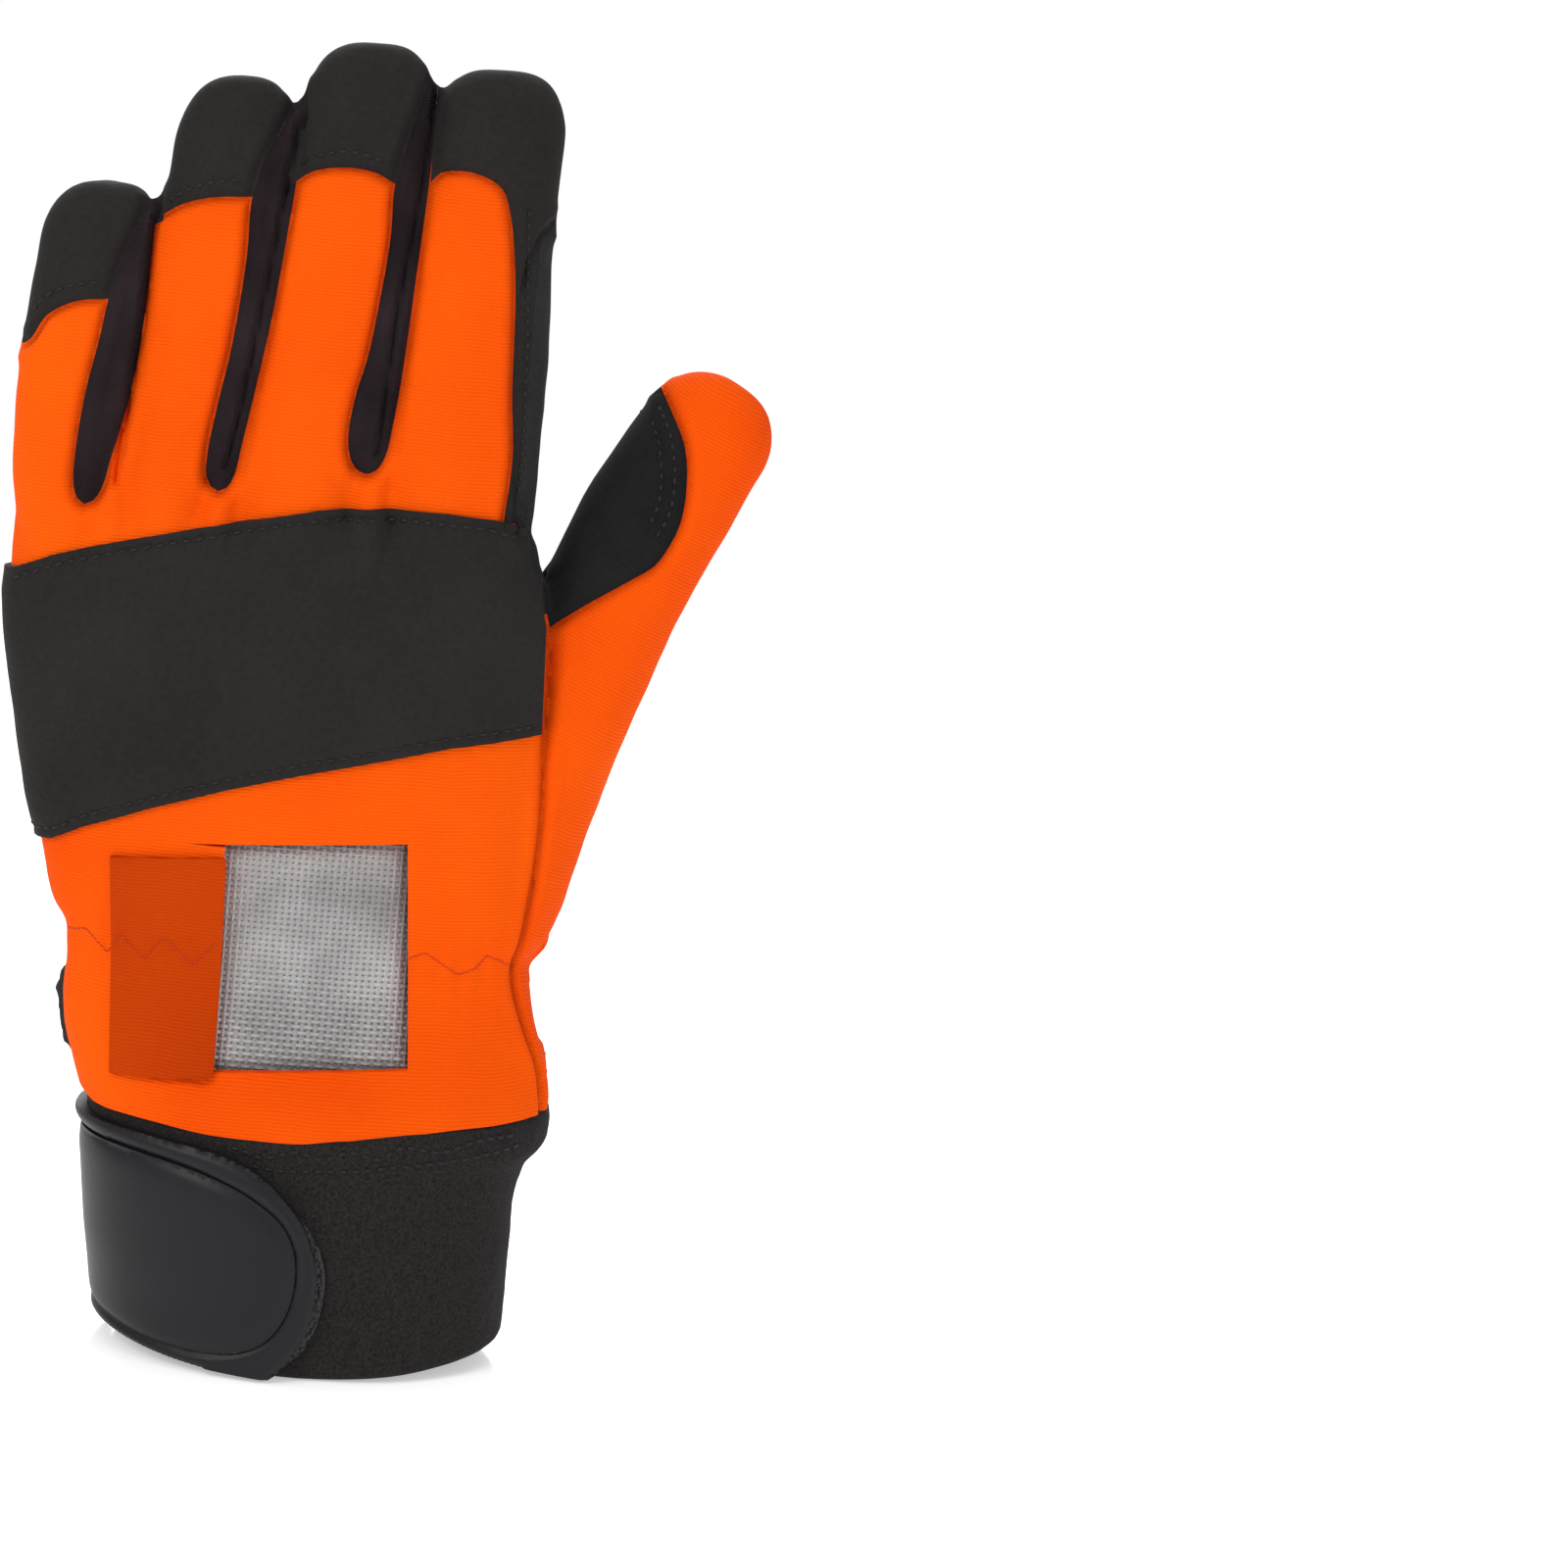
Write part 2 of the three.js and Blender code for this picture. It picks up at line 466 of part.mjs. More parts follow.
// Patch behind the window and the cut flap folded beside it
const mesh_layer = form(-wall_thickness - seam_gap, hand_points_inside, finger_points_inside)
  .subtract(form(-wall_thickness - seam_gap - mesh_thickness, hand_points_inside, finger_points_inside));
const mesh_patch = largest(mesh_layer.intersect(
  prism(grow(stretch(window_outline), mesh_margin), ...front_half)));
const flap = largest(layer(seam_gap + 0.1, flap_thickness)
  .intersect(prism(stretch(flap_outline), ...front_half)));

// Cuff: two halves of one tube with a hem that rises at the sides
function cuffRings(offset) {
  const count = 28;
  return cuff_table.map((row, i) => {
    const points = ring(new THREE.Vector3(across(row.x), 0, row.z * cuff_height / 47), straight,
      across(row.half_width) + offset, cuff_depth / 2 * row.depth_share + offset,
      cuff_depth / 2 * row.depth_share + offset, 2.15, count);
    if (i === 0) {
      points.forEach((point) => {
        const share = (point.x - across(row.x)) / (across(row.half_width) + offset);
        point.z += hem_sag * share * share;
      });
    }
    return points;
  });
}
const cuffLayer = (inner, outer) => tube(cuffRings(outer), cuffRings(inner));
const cuff = cuffLayer(-wall_thickness, 0);
const cuff_front = prism([[-100, -20], [100, -20], [100, 80], [-100, 80]], -120, side_seam_y - seam_gap / 2);
const cuff_back = prism([[-100, -20], [100, -20], [100, 80], [-100, 80]], side_seam_y + seam_gap / 2, 120);
const cuffOutline = (outline) => outline.map(([x, z]) => [across(x), z * cuff_height / 47]);
const tape_out = seam_gap + hook_tape_thickness;
const strap_in = tape_out + seam_gap;
const strap_out = strap_in + strap_thickness;
const hook_tape = largest(cuffLayer(seam_gap, tape_out)
  .intersect(prism(cuffOutline(hook_tape_outline), -120, 0)));
const strap = largest(cuffLayer(strap_in, strap_out)
  .intersect(prism(cuffOutline(strap_outline), -120, side_seam_y + 8)));
const strap_patch = largest(cuffLayer(strap_out + seam_gap, strap_out + seam_gap + strap_patch_thickness)
  .intersect(prism(cuffOutline(strap_patch_outline), -120, -2)));

// Materials
const materials = {
  orange_cloth: { color: 0xff5f0a, roughness: 0.85 },
  suede: { color: 0x28292b, roughness: 0.95 },
  black_knit: { color: 0x261e22, roughness: 0.9 },
  cap_cloth: { color: 0x232422, roughness: 0.8 },
  loop_cloth: { color: 0x242221, roughness: 1 },
  woven_elastic: { color: 0x262629, roughness: 0.85 },
  strap_rubber: { color: 0x302f36, roughness: 0.55 },
  hook_nylon: { color: 0x141416, roughness: 0.6 },
  silver_mesh: { color: 0xb4b4b4, roughness: 0.45 },
  flap_cloth: { color: 0xc84b00, roughness: 0.85 },
};

const glove = new THREE.Group();
glove.name = 'chainsaw_glove';

function addPiece(name, solid, material_name) {
  const data = solid.getMesh();
  const geometry = new THREE.BufferGeometry();
  geometry.setAttribute('position', new THREE.BufferAttribute(new Float32Array(data.vertProperties), 3));
  geometry.setIndex(new THREE.BufferAttribute(new Uint32Array(data.triVerts), 1));
  geometry.computeVertexNormals();
  const values = materials[material_name];
  const material = new THREE.MeshStandardMaterial({ color: values.color, roughness: values.roughness });
  material.name = material_name;
  const piece = new THREE.Mesh(geometry, material);
  piece.name = name;
  glove.add(piece);
}

addPiece('back_panel', pieces.back, 'orange_cloth');
addPiece('thumb_back_panel', pieces.thumb, 'orange_cloth');
addPiece('palm_panel', pieces.palm, 'suede');
addPiece('thumb_crotch_patch', pieces.patch, 'suede');
for (const name of Object.keys(gusset_outline)) {
  addPiece(`gusset_${name}`, pieces[`gusset_${name}`], 'black_knit');
}
for (const name of Object.keys(finger_table)) {
  addPiece(`fingertip_cap_${name}`, pieces[`cap_${name}`], 'cap_cloth');
}
addPiece('knuckle_band', band, 'cap_cloth');
addPiece('palm_knuckle_pad', palmPad(knuckle_pad_outline), 'suede');
addPiece('palm_ridge_pad', palmPad(ridge_pad_outline), 'suede');
addPiece('palm_heel_pad', palmPad(heel_pad_outline), 'suede');
for (const name of Object.keys(upper_pad_table)) {
  addPiece(`finger_pad_upper_${name}`, fingerPad(upper_pad_table[name], 5, false), 'suede');
}
for (const name of Object.keys(lower_pad_table)) {
  addPiece(`finger_pad_lower_${name}`, fingerPad(lower_pad_table[name], 5, true), 'suede');
}
addPiece('cuff_loop_panel', largest(cuff.intersect(cuff_front)), 'loop_cloth');
addPiece('cuff_elastic', largest(cuff.intersect(cuff_back)), 'woven_elastic');
addPiece('wrist_strap', strap, 'strap_rubber');
addPiece('strap_patch', strap_patch, 'strap_rubber');
addPiece('strap_hook_tape', hook_tape, 'hook_nylon');
addPiece('protective_mesh', mesh_patch, 'silver_mesh');
addPiece('cutaway_flap', flap, 'flap_cloth');

export default glove;
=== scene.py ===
import json
import math

import bmesh
import bpy
import numpy as np
from mathutils import Matrix, Vector, noise
from mathutils.bvhtree import BVHTree
from mathutils.kdtree import KDTree

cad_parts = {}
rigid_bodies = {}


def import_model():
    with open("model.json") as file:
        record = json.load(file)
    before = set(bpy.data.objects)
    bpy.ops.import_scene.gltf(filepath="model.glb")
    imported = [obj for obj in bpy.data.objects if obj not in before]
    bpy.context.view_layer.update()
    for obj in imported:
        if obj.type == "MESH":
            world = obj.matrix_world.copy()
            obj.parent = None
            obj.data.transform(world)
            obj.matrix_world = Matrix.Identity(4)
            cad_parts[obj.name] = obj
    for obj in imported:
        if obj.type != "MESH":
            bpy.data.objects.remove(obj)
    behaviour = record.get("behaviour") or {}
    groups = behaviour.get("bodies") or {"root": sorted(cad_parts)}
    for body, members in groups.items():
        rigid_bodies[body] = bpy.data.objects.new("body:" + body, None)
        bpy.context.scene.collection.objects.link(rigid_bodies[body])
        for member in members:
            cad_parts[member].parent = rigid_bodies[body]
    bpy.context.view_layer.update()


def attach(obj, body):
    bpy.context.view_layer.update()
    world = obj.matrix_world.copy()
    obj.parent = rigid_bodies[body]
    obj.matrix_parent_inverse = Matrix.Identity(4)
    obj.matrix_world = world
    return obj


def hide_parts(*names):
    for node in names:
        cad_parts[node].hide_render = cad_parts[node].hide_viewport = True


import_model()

# Camera, floor and lights
# A long lens ten degrees above the hand, rolled so that the glove leans as it does in the photograph.
# The floor is a pale glossy sheet that meets a white surround; the light is soft and from all sides.
bpy.context.scene.view_settings.view_transform = "Standard"
bpy.context.scene.view_settings.look = "None"

camera_data = bpy.data.cameras.new("camera")
camera_data.sensor_width = 36
camera_data.lens = 118.1
camera_data.clip_end = 20
camera = bpy.data.objects.new("camera", camera_data)
bpy.context.scene.collection.objects.link(camera)
camera_right = Vector((0.99314, -0.0606, 0.10004))
camera_up = Vector((-0.08715, 0.18705, 0.97848))
camera_back = camera_right.cross(camera_up)
camera.matrix_world = Matrix.Translation((0.00682, -0.98481, 0.29985)) @ Matrix(
    (camera_right, camera_up, camera_back)
).transposed().to_4x4()
bpy.context.scene.camera = camera

world = bpy.data.worlds.new("surround")
world.use_nodes = True
surround = world.node_tree.nodes["Background"]
surround.inputs["Color"].default_value = (1, 1, 1, 1)
seen_directly = world.node_tree.nodes.new("ShaderNodeLightPath").outputs["Is Camera Ray"]
brighter = world.node_tree.nodes.new("ShaderNodeMath")
brighter.operation = "MULTIPLY_ADD"
brighter.inputs[1].default_value = 0.45
brighter.inputs[2].default_value = 0.55
world.node_tree.links.new(seen_directly, brighter.inputs[0])
world.node_tree.links.new(brighter.outputs[0], surround.inputs["Strength"])
bpy.context.scene.world = world

floor_bm = bmesh.new()
bmesh.ops.create_grid(floor_bm, x_segments=1, y_segments=1, size=0.9)
floor_mesh = bpy.data.meshes.new("floor")
floor_bm.to_mesh(floor_mesh)
floor_bm.free()
floor = bpy.data.objects.new("floor", floor_mesh)
floor.location = (0, 0, -0.0004)
bpy.context.scene.collection.objects.link(floor)
floor_material = bpy.data.materials.new("pale_gloss")
floor_material.use_nodes = True
floor_shader = floor_material.node_tree.nodes["Principled BSDF"]
floor_shader.inputs["Base Color"].default_value = (0.95, 0.95, 0.95, 1)
floor_shader.inputs["Roughness"].default_value = 0.12
floor_shader.inputs["IOR"].default_value = 1.3
floor_shader.inputs["Emission Color"].default_value = (1, 1, 1, 1)
floor_shader.inputs["Emission Strength"].default_value = 0.42
floor_mesh.materials.append(floor_material)


def add_light(name, place, aim, size, power, colour):
    """A square soft light at a place, turned to a point."""
    data = bpy.data.lights.new(name, "AREA")
    data.shape = "RECTANGLE"
    data.size, data.size_y = size
    data.energy = power
    data.color = colour
    light = bpy.data.objects.new(name, data)
    light.location = place
    light.rotation_euler = (Vector(aim) - Vector(place)).to_track_quat("-Z", "Y").to_euler()
    bpy.context.scene.collection.objects.link(light)


add_light("key", (-0.7, -0.9, 0.95), (0, 0, 0.13), (0.6, 0.6), 8, (1, 0.99, 0.97))
add_light("fill", (0.9, -0.8, 0.5), (0, 0, 0.13), (0.8, 0.8), 2.5, (0.97, 0.98, 1))
add_light("top", (0.1, 0.2, 1.3), (0, 0, 0.1), (0.9, 0.9), 3.5, (1, 1, 1))
add_light("palm_side", (-0.2, 1.2, 0.7), (0, 0, 0.12), (0.9, 0.9), 6, (1, 1, 1))

# Body of the glove
# The padded hand, fingers and thumb as one rounded form, in millimetres. Each limb is skinned over ovals,
# all are merged and softened, and the sewn pieces further down are cut from the wall between this form
# and a smaller one inside it.
VOXEL = 0.88
WALL = 1.9
SEAM_GAP = 0.006
KNUCKLE_Z = 160
CURL = 8
# Hand: height, middle, half width, depth to the back, depth to the palm
hand_rows = [
    (44, 0.2, 45.4, 28.4, 28.4),
    (50, -0.9, 46.1, 27, 27),
    (58, -2.9, 46.8, 23, 24),
    (66, -4.9, 46.3, 19.6, 21),
    (74, -5.8, 45.5, 17.4, 19),
    (82, -7.2, 46.6, 17.2, 19),
    (96, -9.2, 48.2, 18.6, 20),
    (120, -12, 50.7, 19.3, 19.8),
    (146, -15.2, 52, 17.8, 18.4),
    (156, -16.4, 50.6, 14.6, 15),
    (164, -17, 48, 9.4, 9.4),
    (167, -17, 44, 4, 4),
]
# Fingers: height, middle, half width, half depth; then where the tip is
finger_rows = {
    "little": (
        [(136, -52, 9, 12), (166, -58, 9.9, 11.4), (184, -57.6, 11, 10.8), (208, -55.8, 10.8, 10.2)],
        (-54.2, 222.6),
    ),
    "ring": (
        [(136, -36, 9, 14.6), (166, -38.1, 10, 12.8), (184, -36, 10.6, 11.6), (204, -34.1, 11.2, 11.3),
         (225, -31.9, 11.3, 10.8)],
        (-30.2, 244.8),
    ),
    "middle": (
        [(136, -14, 12, 15.6), (166, -14, 14, 13.6), (184, -12, 13.4, 12.4), (212, -9.4, 12.5, 11.9),
         (236, -6.9, 12.2, 11.2)],
        (-5.6, 253.4),
    ),
    "index": (
        [(136, 14, 12, 15.2), (168, 16, 15.9, 13.4), (184, 16.6, 15.2, 12.4), (212, 17.2, 13.9, 11.9),
         (234, 18.7, 12.5, 11.4)],
        (18.8, 250.8),
    ),
}
# Thumb: height, middle across, middle in depth, half width across its own line, half depth
thumb_rows = [
    (58, 16, 1, 13, 10),
    (78, 22, 4, 17, 15),
    (94, 27, 6, 18, 16.4),
    (114, 33.4, 8, 17, 16),
    (134.4, 41, 9.5, 15.3, 14.5),
    (148.4, 47.6, 10.5, 13.7, 13.4),
    (166.4, 55, 11, 14, 12.8),
    (182.4, 63.3, 12, 13, 12),
]
# Webs of knit between the fingers: height, middle, half width, depth to the back, depth to the palm
web_rows = {
    "little_ring": [(148, -48.6, 5, 14, 3), (160, -48.4, 5, 12.6, 3), (170, -48, 4.8, 9.4, 3),
                    (184, -46.8, 4.6, 7.6, 3), (204, -45.4, 4.2, 6.6, 3), (216, -44.9, 3.2, 5, 2.5),
                    (221, -44.4, 1, 1.5, 1)],
    "ring_middle": [(148, -28.2, 5, 16.4, 3), (160, -28.2, 5, 14.2, 3), (172, -27.4, 4.8, 10.6, 3),
                    (184, -25.5, 4.6, 8.8, 3), (204, -23, 4.6, 8, 3), (224, -20.7, 4.2, 7.2, 3),
                    (237, -19, 3.4, 5.5, 2.5), (242, -18.6, 1, 1.5, 1)],
    "middle_index": [(148, 0.2, 5, 16.8, 3), (162, 0.2, 5, 14.8, 3), (176, 0.9, 4.8, 10.6, 3),
                     (188, 1.6, 4.6, 9, 3), (204, 2.4, 4.4, 8.2, 3), (222, 4.2, 4.2, 7.4, 3),
                     (236, 5.4, 3.8, 6.4, 3), (243, 5.6, 3, 5, 2.5), (247, 5.4, 1.2, 2, 1)],
}
THUMB_TIP = 13.4
DOME_SHARES = (0.12, 0.25, 0.38, 0.5, 0.61, 0.71, 0.8, 0.87, 0.93, 0.97, 0.99)


def rows_between(rows, step):
    """Rows every step millimetres of height, smoothly between the rows of a table."""
    table = np.array(rows, float)
    heights = table[:, 0]
    slopes = np.gradient(table, heights, axis=0)
    wanted = np.linspace(heights[0], heights[-1], int(round((heights[-1] - heights[0]) / step)) + 1)
    below = np.clip(np.searchsorted(heights, wanted, side="right") - 1, 0, len(heights) - 2)
    span = (heights[below + 1] - heights[below])[:, None]
    t = (wanted[:, None] - heights[below][:, None]) / span
    return (
        (2 * t**3 - 3 * t**2 + 1) * table[below]
        + (t**3 - 2 * t**2 + t) * span * slopes[below]
        + (3 * t**2 - 2 * t**3) * table[below + 1]
        + (t**3 - t**2) * span * slopes[below + 1]
    )


def oval(centre, side, half_width, back, palm, exponent, count=48):
    """Points round a section that is blunter than an ellipse; side is its own width direction."""
    points = []
    for i in range(count):
        angle = 2 * math.pi * (i + 0.5) / count
        c, s = math.cos(angle), math.sin(angle)
        wide = half_width * math.copysign(abs(c) ** (2 / exponent), c)
        deep = (back if s < 0 else palm) * math.copysign(abs(s) ** (2 / exponent), s)
        points.append(centre + side * wide + Vector((0, deep, 0)))
    return points


def skin(bm, rings):
    """Joins rings of equal count into one closed limb."""
    made = []
    for ring in rings:
        circle = bmesh.ops.create_circle(bm, segments=len(ring), radius=1)["verts"]
        for vertex, place in zip(circle, ring):
            vertex.co = place
        made.append(list({edge for vertex in circle for edge in vertex.link_edges}))
    for lower, upper in zip(made, made[1:]):
        bmesh.ops.bridge_loops(bm, edges=lower + upper)
    for end in (made[0], made[-1]):
        bmesh.ops.contextual_create(bm, geom=end)


def curl_at(z, tip_z):
    """How far a finger has bent towards the palm at a height."""
    share = max(0, (z - KNUCKLE_Z) / (tip_z - KNUCKLE_Z))
    return CURL * share * share


def limb_bm(offset, step):
    """All limbs of the glove, each a closed skin, grown by offset."""
    bm = bmesh.new()
    across = Vector((1, 0, 0))
    skin(bm, [
        oval(Vector((x, 0, z)), across, w + offset, back + offset, palm + offset, 2.35, 72)
        for z, x, w, back, palm in rows_between(hand_rows, step)
    ])
    for rows, (tip_x, tip_z) in finger_rows.values():
        rings = [
            oval(Vector((x, curl_at(z, tip_z), z)), across, w + offset, d + offset, d + offset, 2.2)
            for z, x, w, d in rows_between(rows, step)
        ]
        z, x, w, d = rows[-1]
        height = tip_z + offset - z
        for share in DOME_SHARES:
            narrow = (1 - share**2.9) ** (1 / 2.9)
            centre = Vector((x + (tip_x - x) * share**2, curl_at(z + (tip_z - z) * share, tip_z),
                             z + height * share))
            rings.append(oval(centre, across, (w + offset) * narrow, (d + offset) * narrow,
                              (d + offset) * narrow, 2.2))
        skin(bm, rings)
    for rows in web_rows.values():
        skin(bm, [
            oval(Vector((x, curl_at(z, 250), z)), across, w + offset, back + offset, palm + offset, 2.1)
            for z, x, w, back, palm in rows_between(rows, step)
        ])
    rows = rows_between(thumb_rows, step)
    centres = [Vector((x, y, z)) for z, x, y, w, d in rows]
    rings = []
    for i, (z, x, y, w, d) in enumerate(rows):
        run = centres[min(i + 1, len(rows) - 1)] - centres[max(i - 1, 0)]
        side = Vector((run.z, 0, -run.x)).normalized()
        rings.append(oval(centres[i], side, w + offset, d + offset, d + offset, 2.2))
    axis = Vector((-side.z, 0, side.x))
    for share in DOME_SHARES:
        narrow = (1 - share**2.3) ** (1 / 2.3)
        rings.append(oval(centres[-1] + axis * (THUMB_TIP + offset) * share, side, (w + offset) * narrow,
                          (d + offset) * narrow, (d + offset) * narrow, 2.2))
    skin(bm, rings)
    bmesh.ops.recalc_face_normals(bm, faces=bm.faces)
    return bm


def add_object(name, bm):
    """A new object of a mesh built in bmesh."""
    mesh = bpy.data.meshes.new(name)
    bm.to_mesh(mesh)
    bm.free()
    piece = bpy.data.objects.new(name, mesh)
    bpy.context.scene.collection.objects.link(piece)
    return piece


def settle(piece):
    """Gives a piece the mesh that its modifiers make of it."""
    graph = bpy.context.evaluated_depsgraph_get()
    shaped = bpy.data.meshes.new_from_object(piece.evaluated_get(graph))
    old = piece.data
    piece.modifiers.clear()
    piece.data = shaped
    bpy.data.meshes.remove(old)


def merged_body(name, offset, voxel, rounds):
    """The limbs as one skin, softened where they meet."""
    body = add_object(name, limb_bm(offset, 3))
    merge = body.modifiers.new("merge", "REMESH")
    merge.mode = "VOXEL"
    merge.voxel_size = voxel
    soften = body.modifiers.new("soften", "SMOOTH")
    soften.factor = 0.5
    soften.iterations = rounds
    settle(body)
    return body


body = merged_body("body", 0, VOXEL, 14)


# Seams pressed into the body
# The pieces are sewn edge to edge and turned, so each seam lies in a soft valley and the cloth stands a
# little proud beside it. The lines are [x, z] as seen from the back of the hand, or through it from the
# back for those on the palm side.
SEAM_DEPTH = 1.0
SEAM_WIDTH = 1.0
back_thumb_seam = [(34.6, 158), (35.4, 150), (36.7, 145.9), (37.9, 122.9), (38.6, 102.4), (37.3, 87.2),
                   (36.5, 80), (36.5, 75.1), (39.2, 67.2), (43.1, 55.5), (44, 40)]
patch_back_seam = [(54.3, 192.5), (57.1, 187.7), (59.6, 182.3), (60.6, 173.6), (60, 167.6), (58.5, 163.6),
                   (55.9, 159.3), (51.4, 156), (44.1, 151), (36.8, 145.5)]
patch_palm_seam = [(54.3, 192.5), (57, 184), (55.5, 172), (51, 159), (44, 147), (36, 137), (26, 129)]
cap_seams = {
    "little": [(-75, 188), (-66.9, 191.5), (-63.5, 197), (-58, 200.3), (-52.2, 201.2)],
    "ring": [(-45, 216), (-43.4, 217.6), (-39.8, 220.2), (-34.4, 222.1), (-26.8, 222.9)],
    "middle": [(-20.6, 225), (-19.3, 226), (-16.2, 228.5), (-10.6, 230.1), (-4, 229.7), (-0.1, 227.8)],
    "index": [(6.4, 228.5), (8.1, 230.5), (12.6, 231.5), (16.9, 230.8), (20.1, 228.9), (21.6, 225.7),
              (22.9, 220.1), (24.3, 208.9), (25.4, 190), (26.5, 178.6), (25.9, 166)],
}
gusset_left_seams = {
    "little_ring": [(-45.2, 222), (-47.5, 216), (-50.5, 208), (-52.2, 201.2), (-53.2, 194.1), (-55.1, 182.6),
                    (-56, 170.3), (-55.8, 166), (-54.9, 163.4), (-53.5, 162.4)],
    "ring_middle": [(-18.9, 242.5), (-22, 237), (-25.2, 230), (-26.8, 222.9), (-26.9, 211.8), (-28.3, 194.6),
                    (-30.2, 182.2), (-31.2, 173.5), (-31, 169.6), (-30.1, 168), (-28.6, 167.3)],
    "middle_index": [(5.5, 252), (2, 238), (-0.2, 228), (-0.2, 218), (-1.1, 206.7), (-2.5, 195.2),
                     (-4.2, 187.4), (-4.9, 180.6), (-4.4, 176.4), (-3.2, 174), (-1.2, 173)],
}
gusset_right_seams = {
    "little_ring": [(-53.5, 162.4), (-52, 163.1), (-50.7, 165.2), (-49.4, 170.9), (-46.8, 183.3),
                    (-45.3, 198.8), (-45, 210.1), (-44.6, 224)],
    "ring_middle": [(-28.6, 167.3), (-27, 168), (-25.9, 170.1), (-24.9, 176), (-23.1, 187.5), (-21.2, 200.9),
                    (-19.7, 216.2), (-18.9, 226), (-18.5, 243)],
    "middle_index": [(-1.2, 173), (0.9, 173.9), (2.4, 176.6), (3.3, 182.3), (4.1, 190.1), (4.7, 199.6),
                     (5.4, 213), (6.2, 229), (6.5, 244), (6.5, 252)],
}
creases = {
    "little_ring": [(-48.4, 158), (-48.2, 166), (-46.8, 184), (-45.4, 204), (-45, 224)],
    "ring_middle": [(-28.2, 159), (-28.2, 166), (-25.5, 184), (-23, 204), (-20.7, 224), (-18.8, 244)],
    "middle_index": [(0.2, 160), (0.2, 168), (1.3, 184), (2.4, 204), (4.2, 222), (6.5, 250)],
}
index_side_seam = [(28.2, 164), (28.2, 220), (31, 223)]
cap_stitch_lines = [[(-66.5, 197), (-64.3, 200.2), (-59.8, 202.9), (-53.4, 204.4)],
                    [(-42.6, 220.2), (-39.9, 222.4), (-34.5, 225), (-27.8, 226)],
                    [(-18.6, 229.6), (-15.9, 231.4), (-9.1, 233.2), (-1.5, 231.8)]]
side_stitch_line = [(25.4, 226), (25.9, 218.1), (26.4, 212.4), (27, 204.9), (27.7, 193.5), (28.3, 180.1),
                    (28.3, 170.5)]
patch_stitch_lines = [[(54, 189.4), (56.2, 185.4), (57.5, 181), (58.1, 176), (57.7, 169.7), (55.4, 164.4)],
                      [(53, 186.6), (54.6, 182.4), (55.5, 177), (55.4, 171), (53.6, 166)]]
PALM_INSET = 2.5
THUMB_RIM = 4.4
finger_middle_line = [(2, 0), (2, 160), (2.5, 185), (3.6, 205), (6, 225), (9, 260)]
thumb_middle_line = [(4, 0), (6, 94), (8, 114), (10.5, 148), (12, 182), (12, 260)]


def smooth_line(points, step=1.0, closed=False):
    """Points every step along a smooth line through the given ones; sharp corners stay sharp."""
    given = [Vector(point) for point in points]
    count = len(given)

    def heading(i, own):
        if not closed and i in (0, count - 1):
            return own
        before = (given[i] - given[i - 1]).normalized()
        after = (given[(i + 1) % count] - given[i]).normalized()
        return own if before.dot(after) < 0.55 else (before + after).normalized()

    line = []
    for i in range(count if closed else count - 1):
        start, end = given[i], given[(i + 1) % count]
        reach = (end - start).length
        own = (end - start).normalized()
        leave, arrive = heading(i, own) * reach, heading((i + 1) % count, own) * reach
        parts = max(1, int(reach / step))
        for part in range(parts):
            t = part / parts
            line.append(start * (2 * t**3 - 3 * t**2 + 1) + leave * (t**3 - 2 * t**2 + t)
                        + end * (3 * t**2 - 2 * t**3) + arrive * (t**3 - t**2))
    if not closed:
        line.append(given[-1])
    return [tuple(point) for point in line]


def palm_arm(rows, tip, inset):
    """Outline of the palm panel's arm on a finger: inset from its sides, with an arched end."""
    left = [(x - w + inset, z) for z, x, w, d in rows]
    right = [(x + w - inset, z) for z, x, w, d in rows]
    z, x, w, d = rows[-1]
    arch = []
    for i in range(1, 12):
        angle = math.pi * (1 - i / 12)
        rise = math.sin(angle) ** 0.9
        arch.append((x + (tip[0] - x) * rise**2 + (w - inset) * math.cos(angle),
                     z + (tip[1] - 3 - z) * rise))
    return left + arch + right[::-1]


palm_arms = {name: palm_arm(rows, tip, PALM_INSET) for name, (rows, tip) in finger_rows.items()}
# At the wrist the panel comes round the little-finger edge as a small tab
palm_left_edge = [(x - w + (PALM_INSET if z < 50 or z > 70 else -4), z)
                  for z, x, w, back, palm in hand_rows[:10]]
palm_right_edge = [(x + w - PALM_INSET, z) for z, x, w, back, palm in hand_rows[:10]]
thumb_rim = []
for i, (z, x, y, w, d) in enumerate(thumb_rows):
    following = thumb_rows[min(i + 1, len(thumb_rows) - 1)]
    earlier = thumb_rows[max(i - 1, 0)]
    side = Vector((following[0] - earlier[0], earlier[1] - following[1])).normalized()
    if i:
        thumb_rim.append((x + side.x * (w - THUMB_RIM), z + side.y * (w - THUMB_RIM)))
thumb_rim += [(75, 184), (71, 189), (66, 191.5), (60, 190), (56, 188)]

body_tree = BVHTree.FromPolygons([v.co for v in body.data.vertices],
                                 [p.vertices for p in body.data.polygons])


def on_surface(tree, line, from_back, step=0.5):
    """The line laid on a surface from the back or from the palm side: (place, normal) pairs."""
    start, aim = (-90, Vector((0, 1, 0))) if from_back else (90, Vector((0, -1, 0)))
    found = []
    for x, z in line:
        place, normal, face, reach = tree.ray_cast(Vector((x, start, z)), aim)
        if place is not None:
            found.append((place, normal))
    return found


def tree_of(points):
    """A search tree of places."""
    tree = KDTree(len(points))
    for i, point in enumerate(points):
        tree.insert(point, i)
    tree.balance()
    return tree


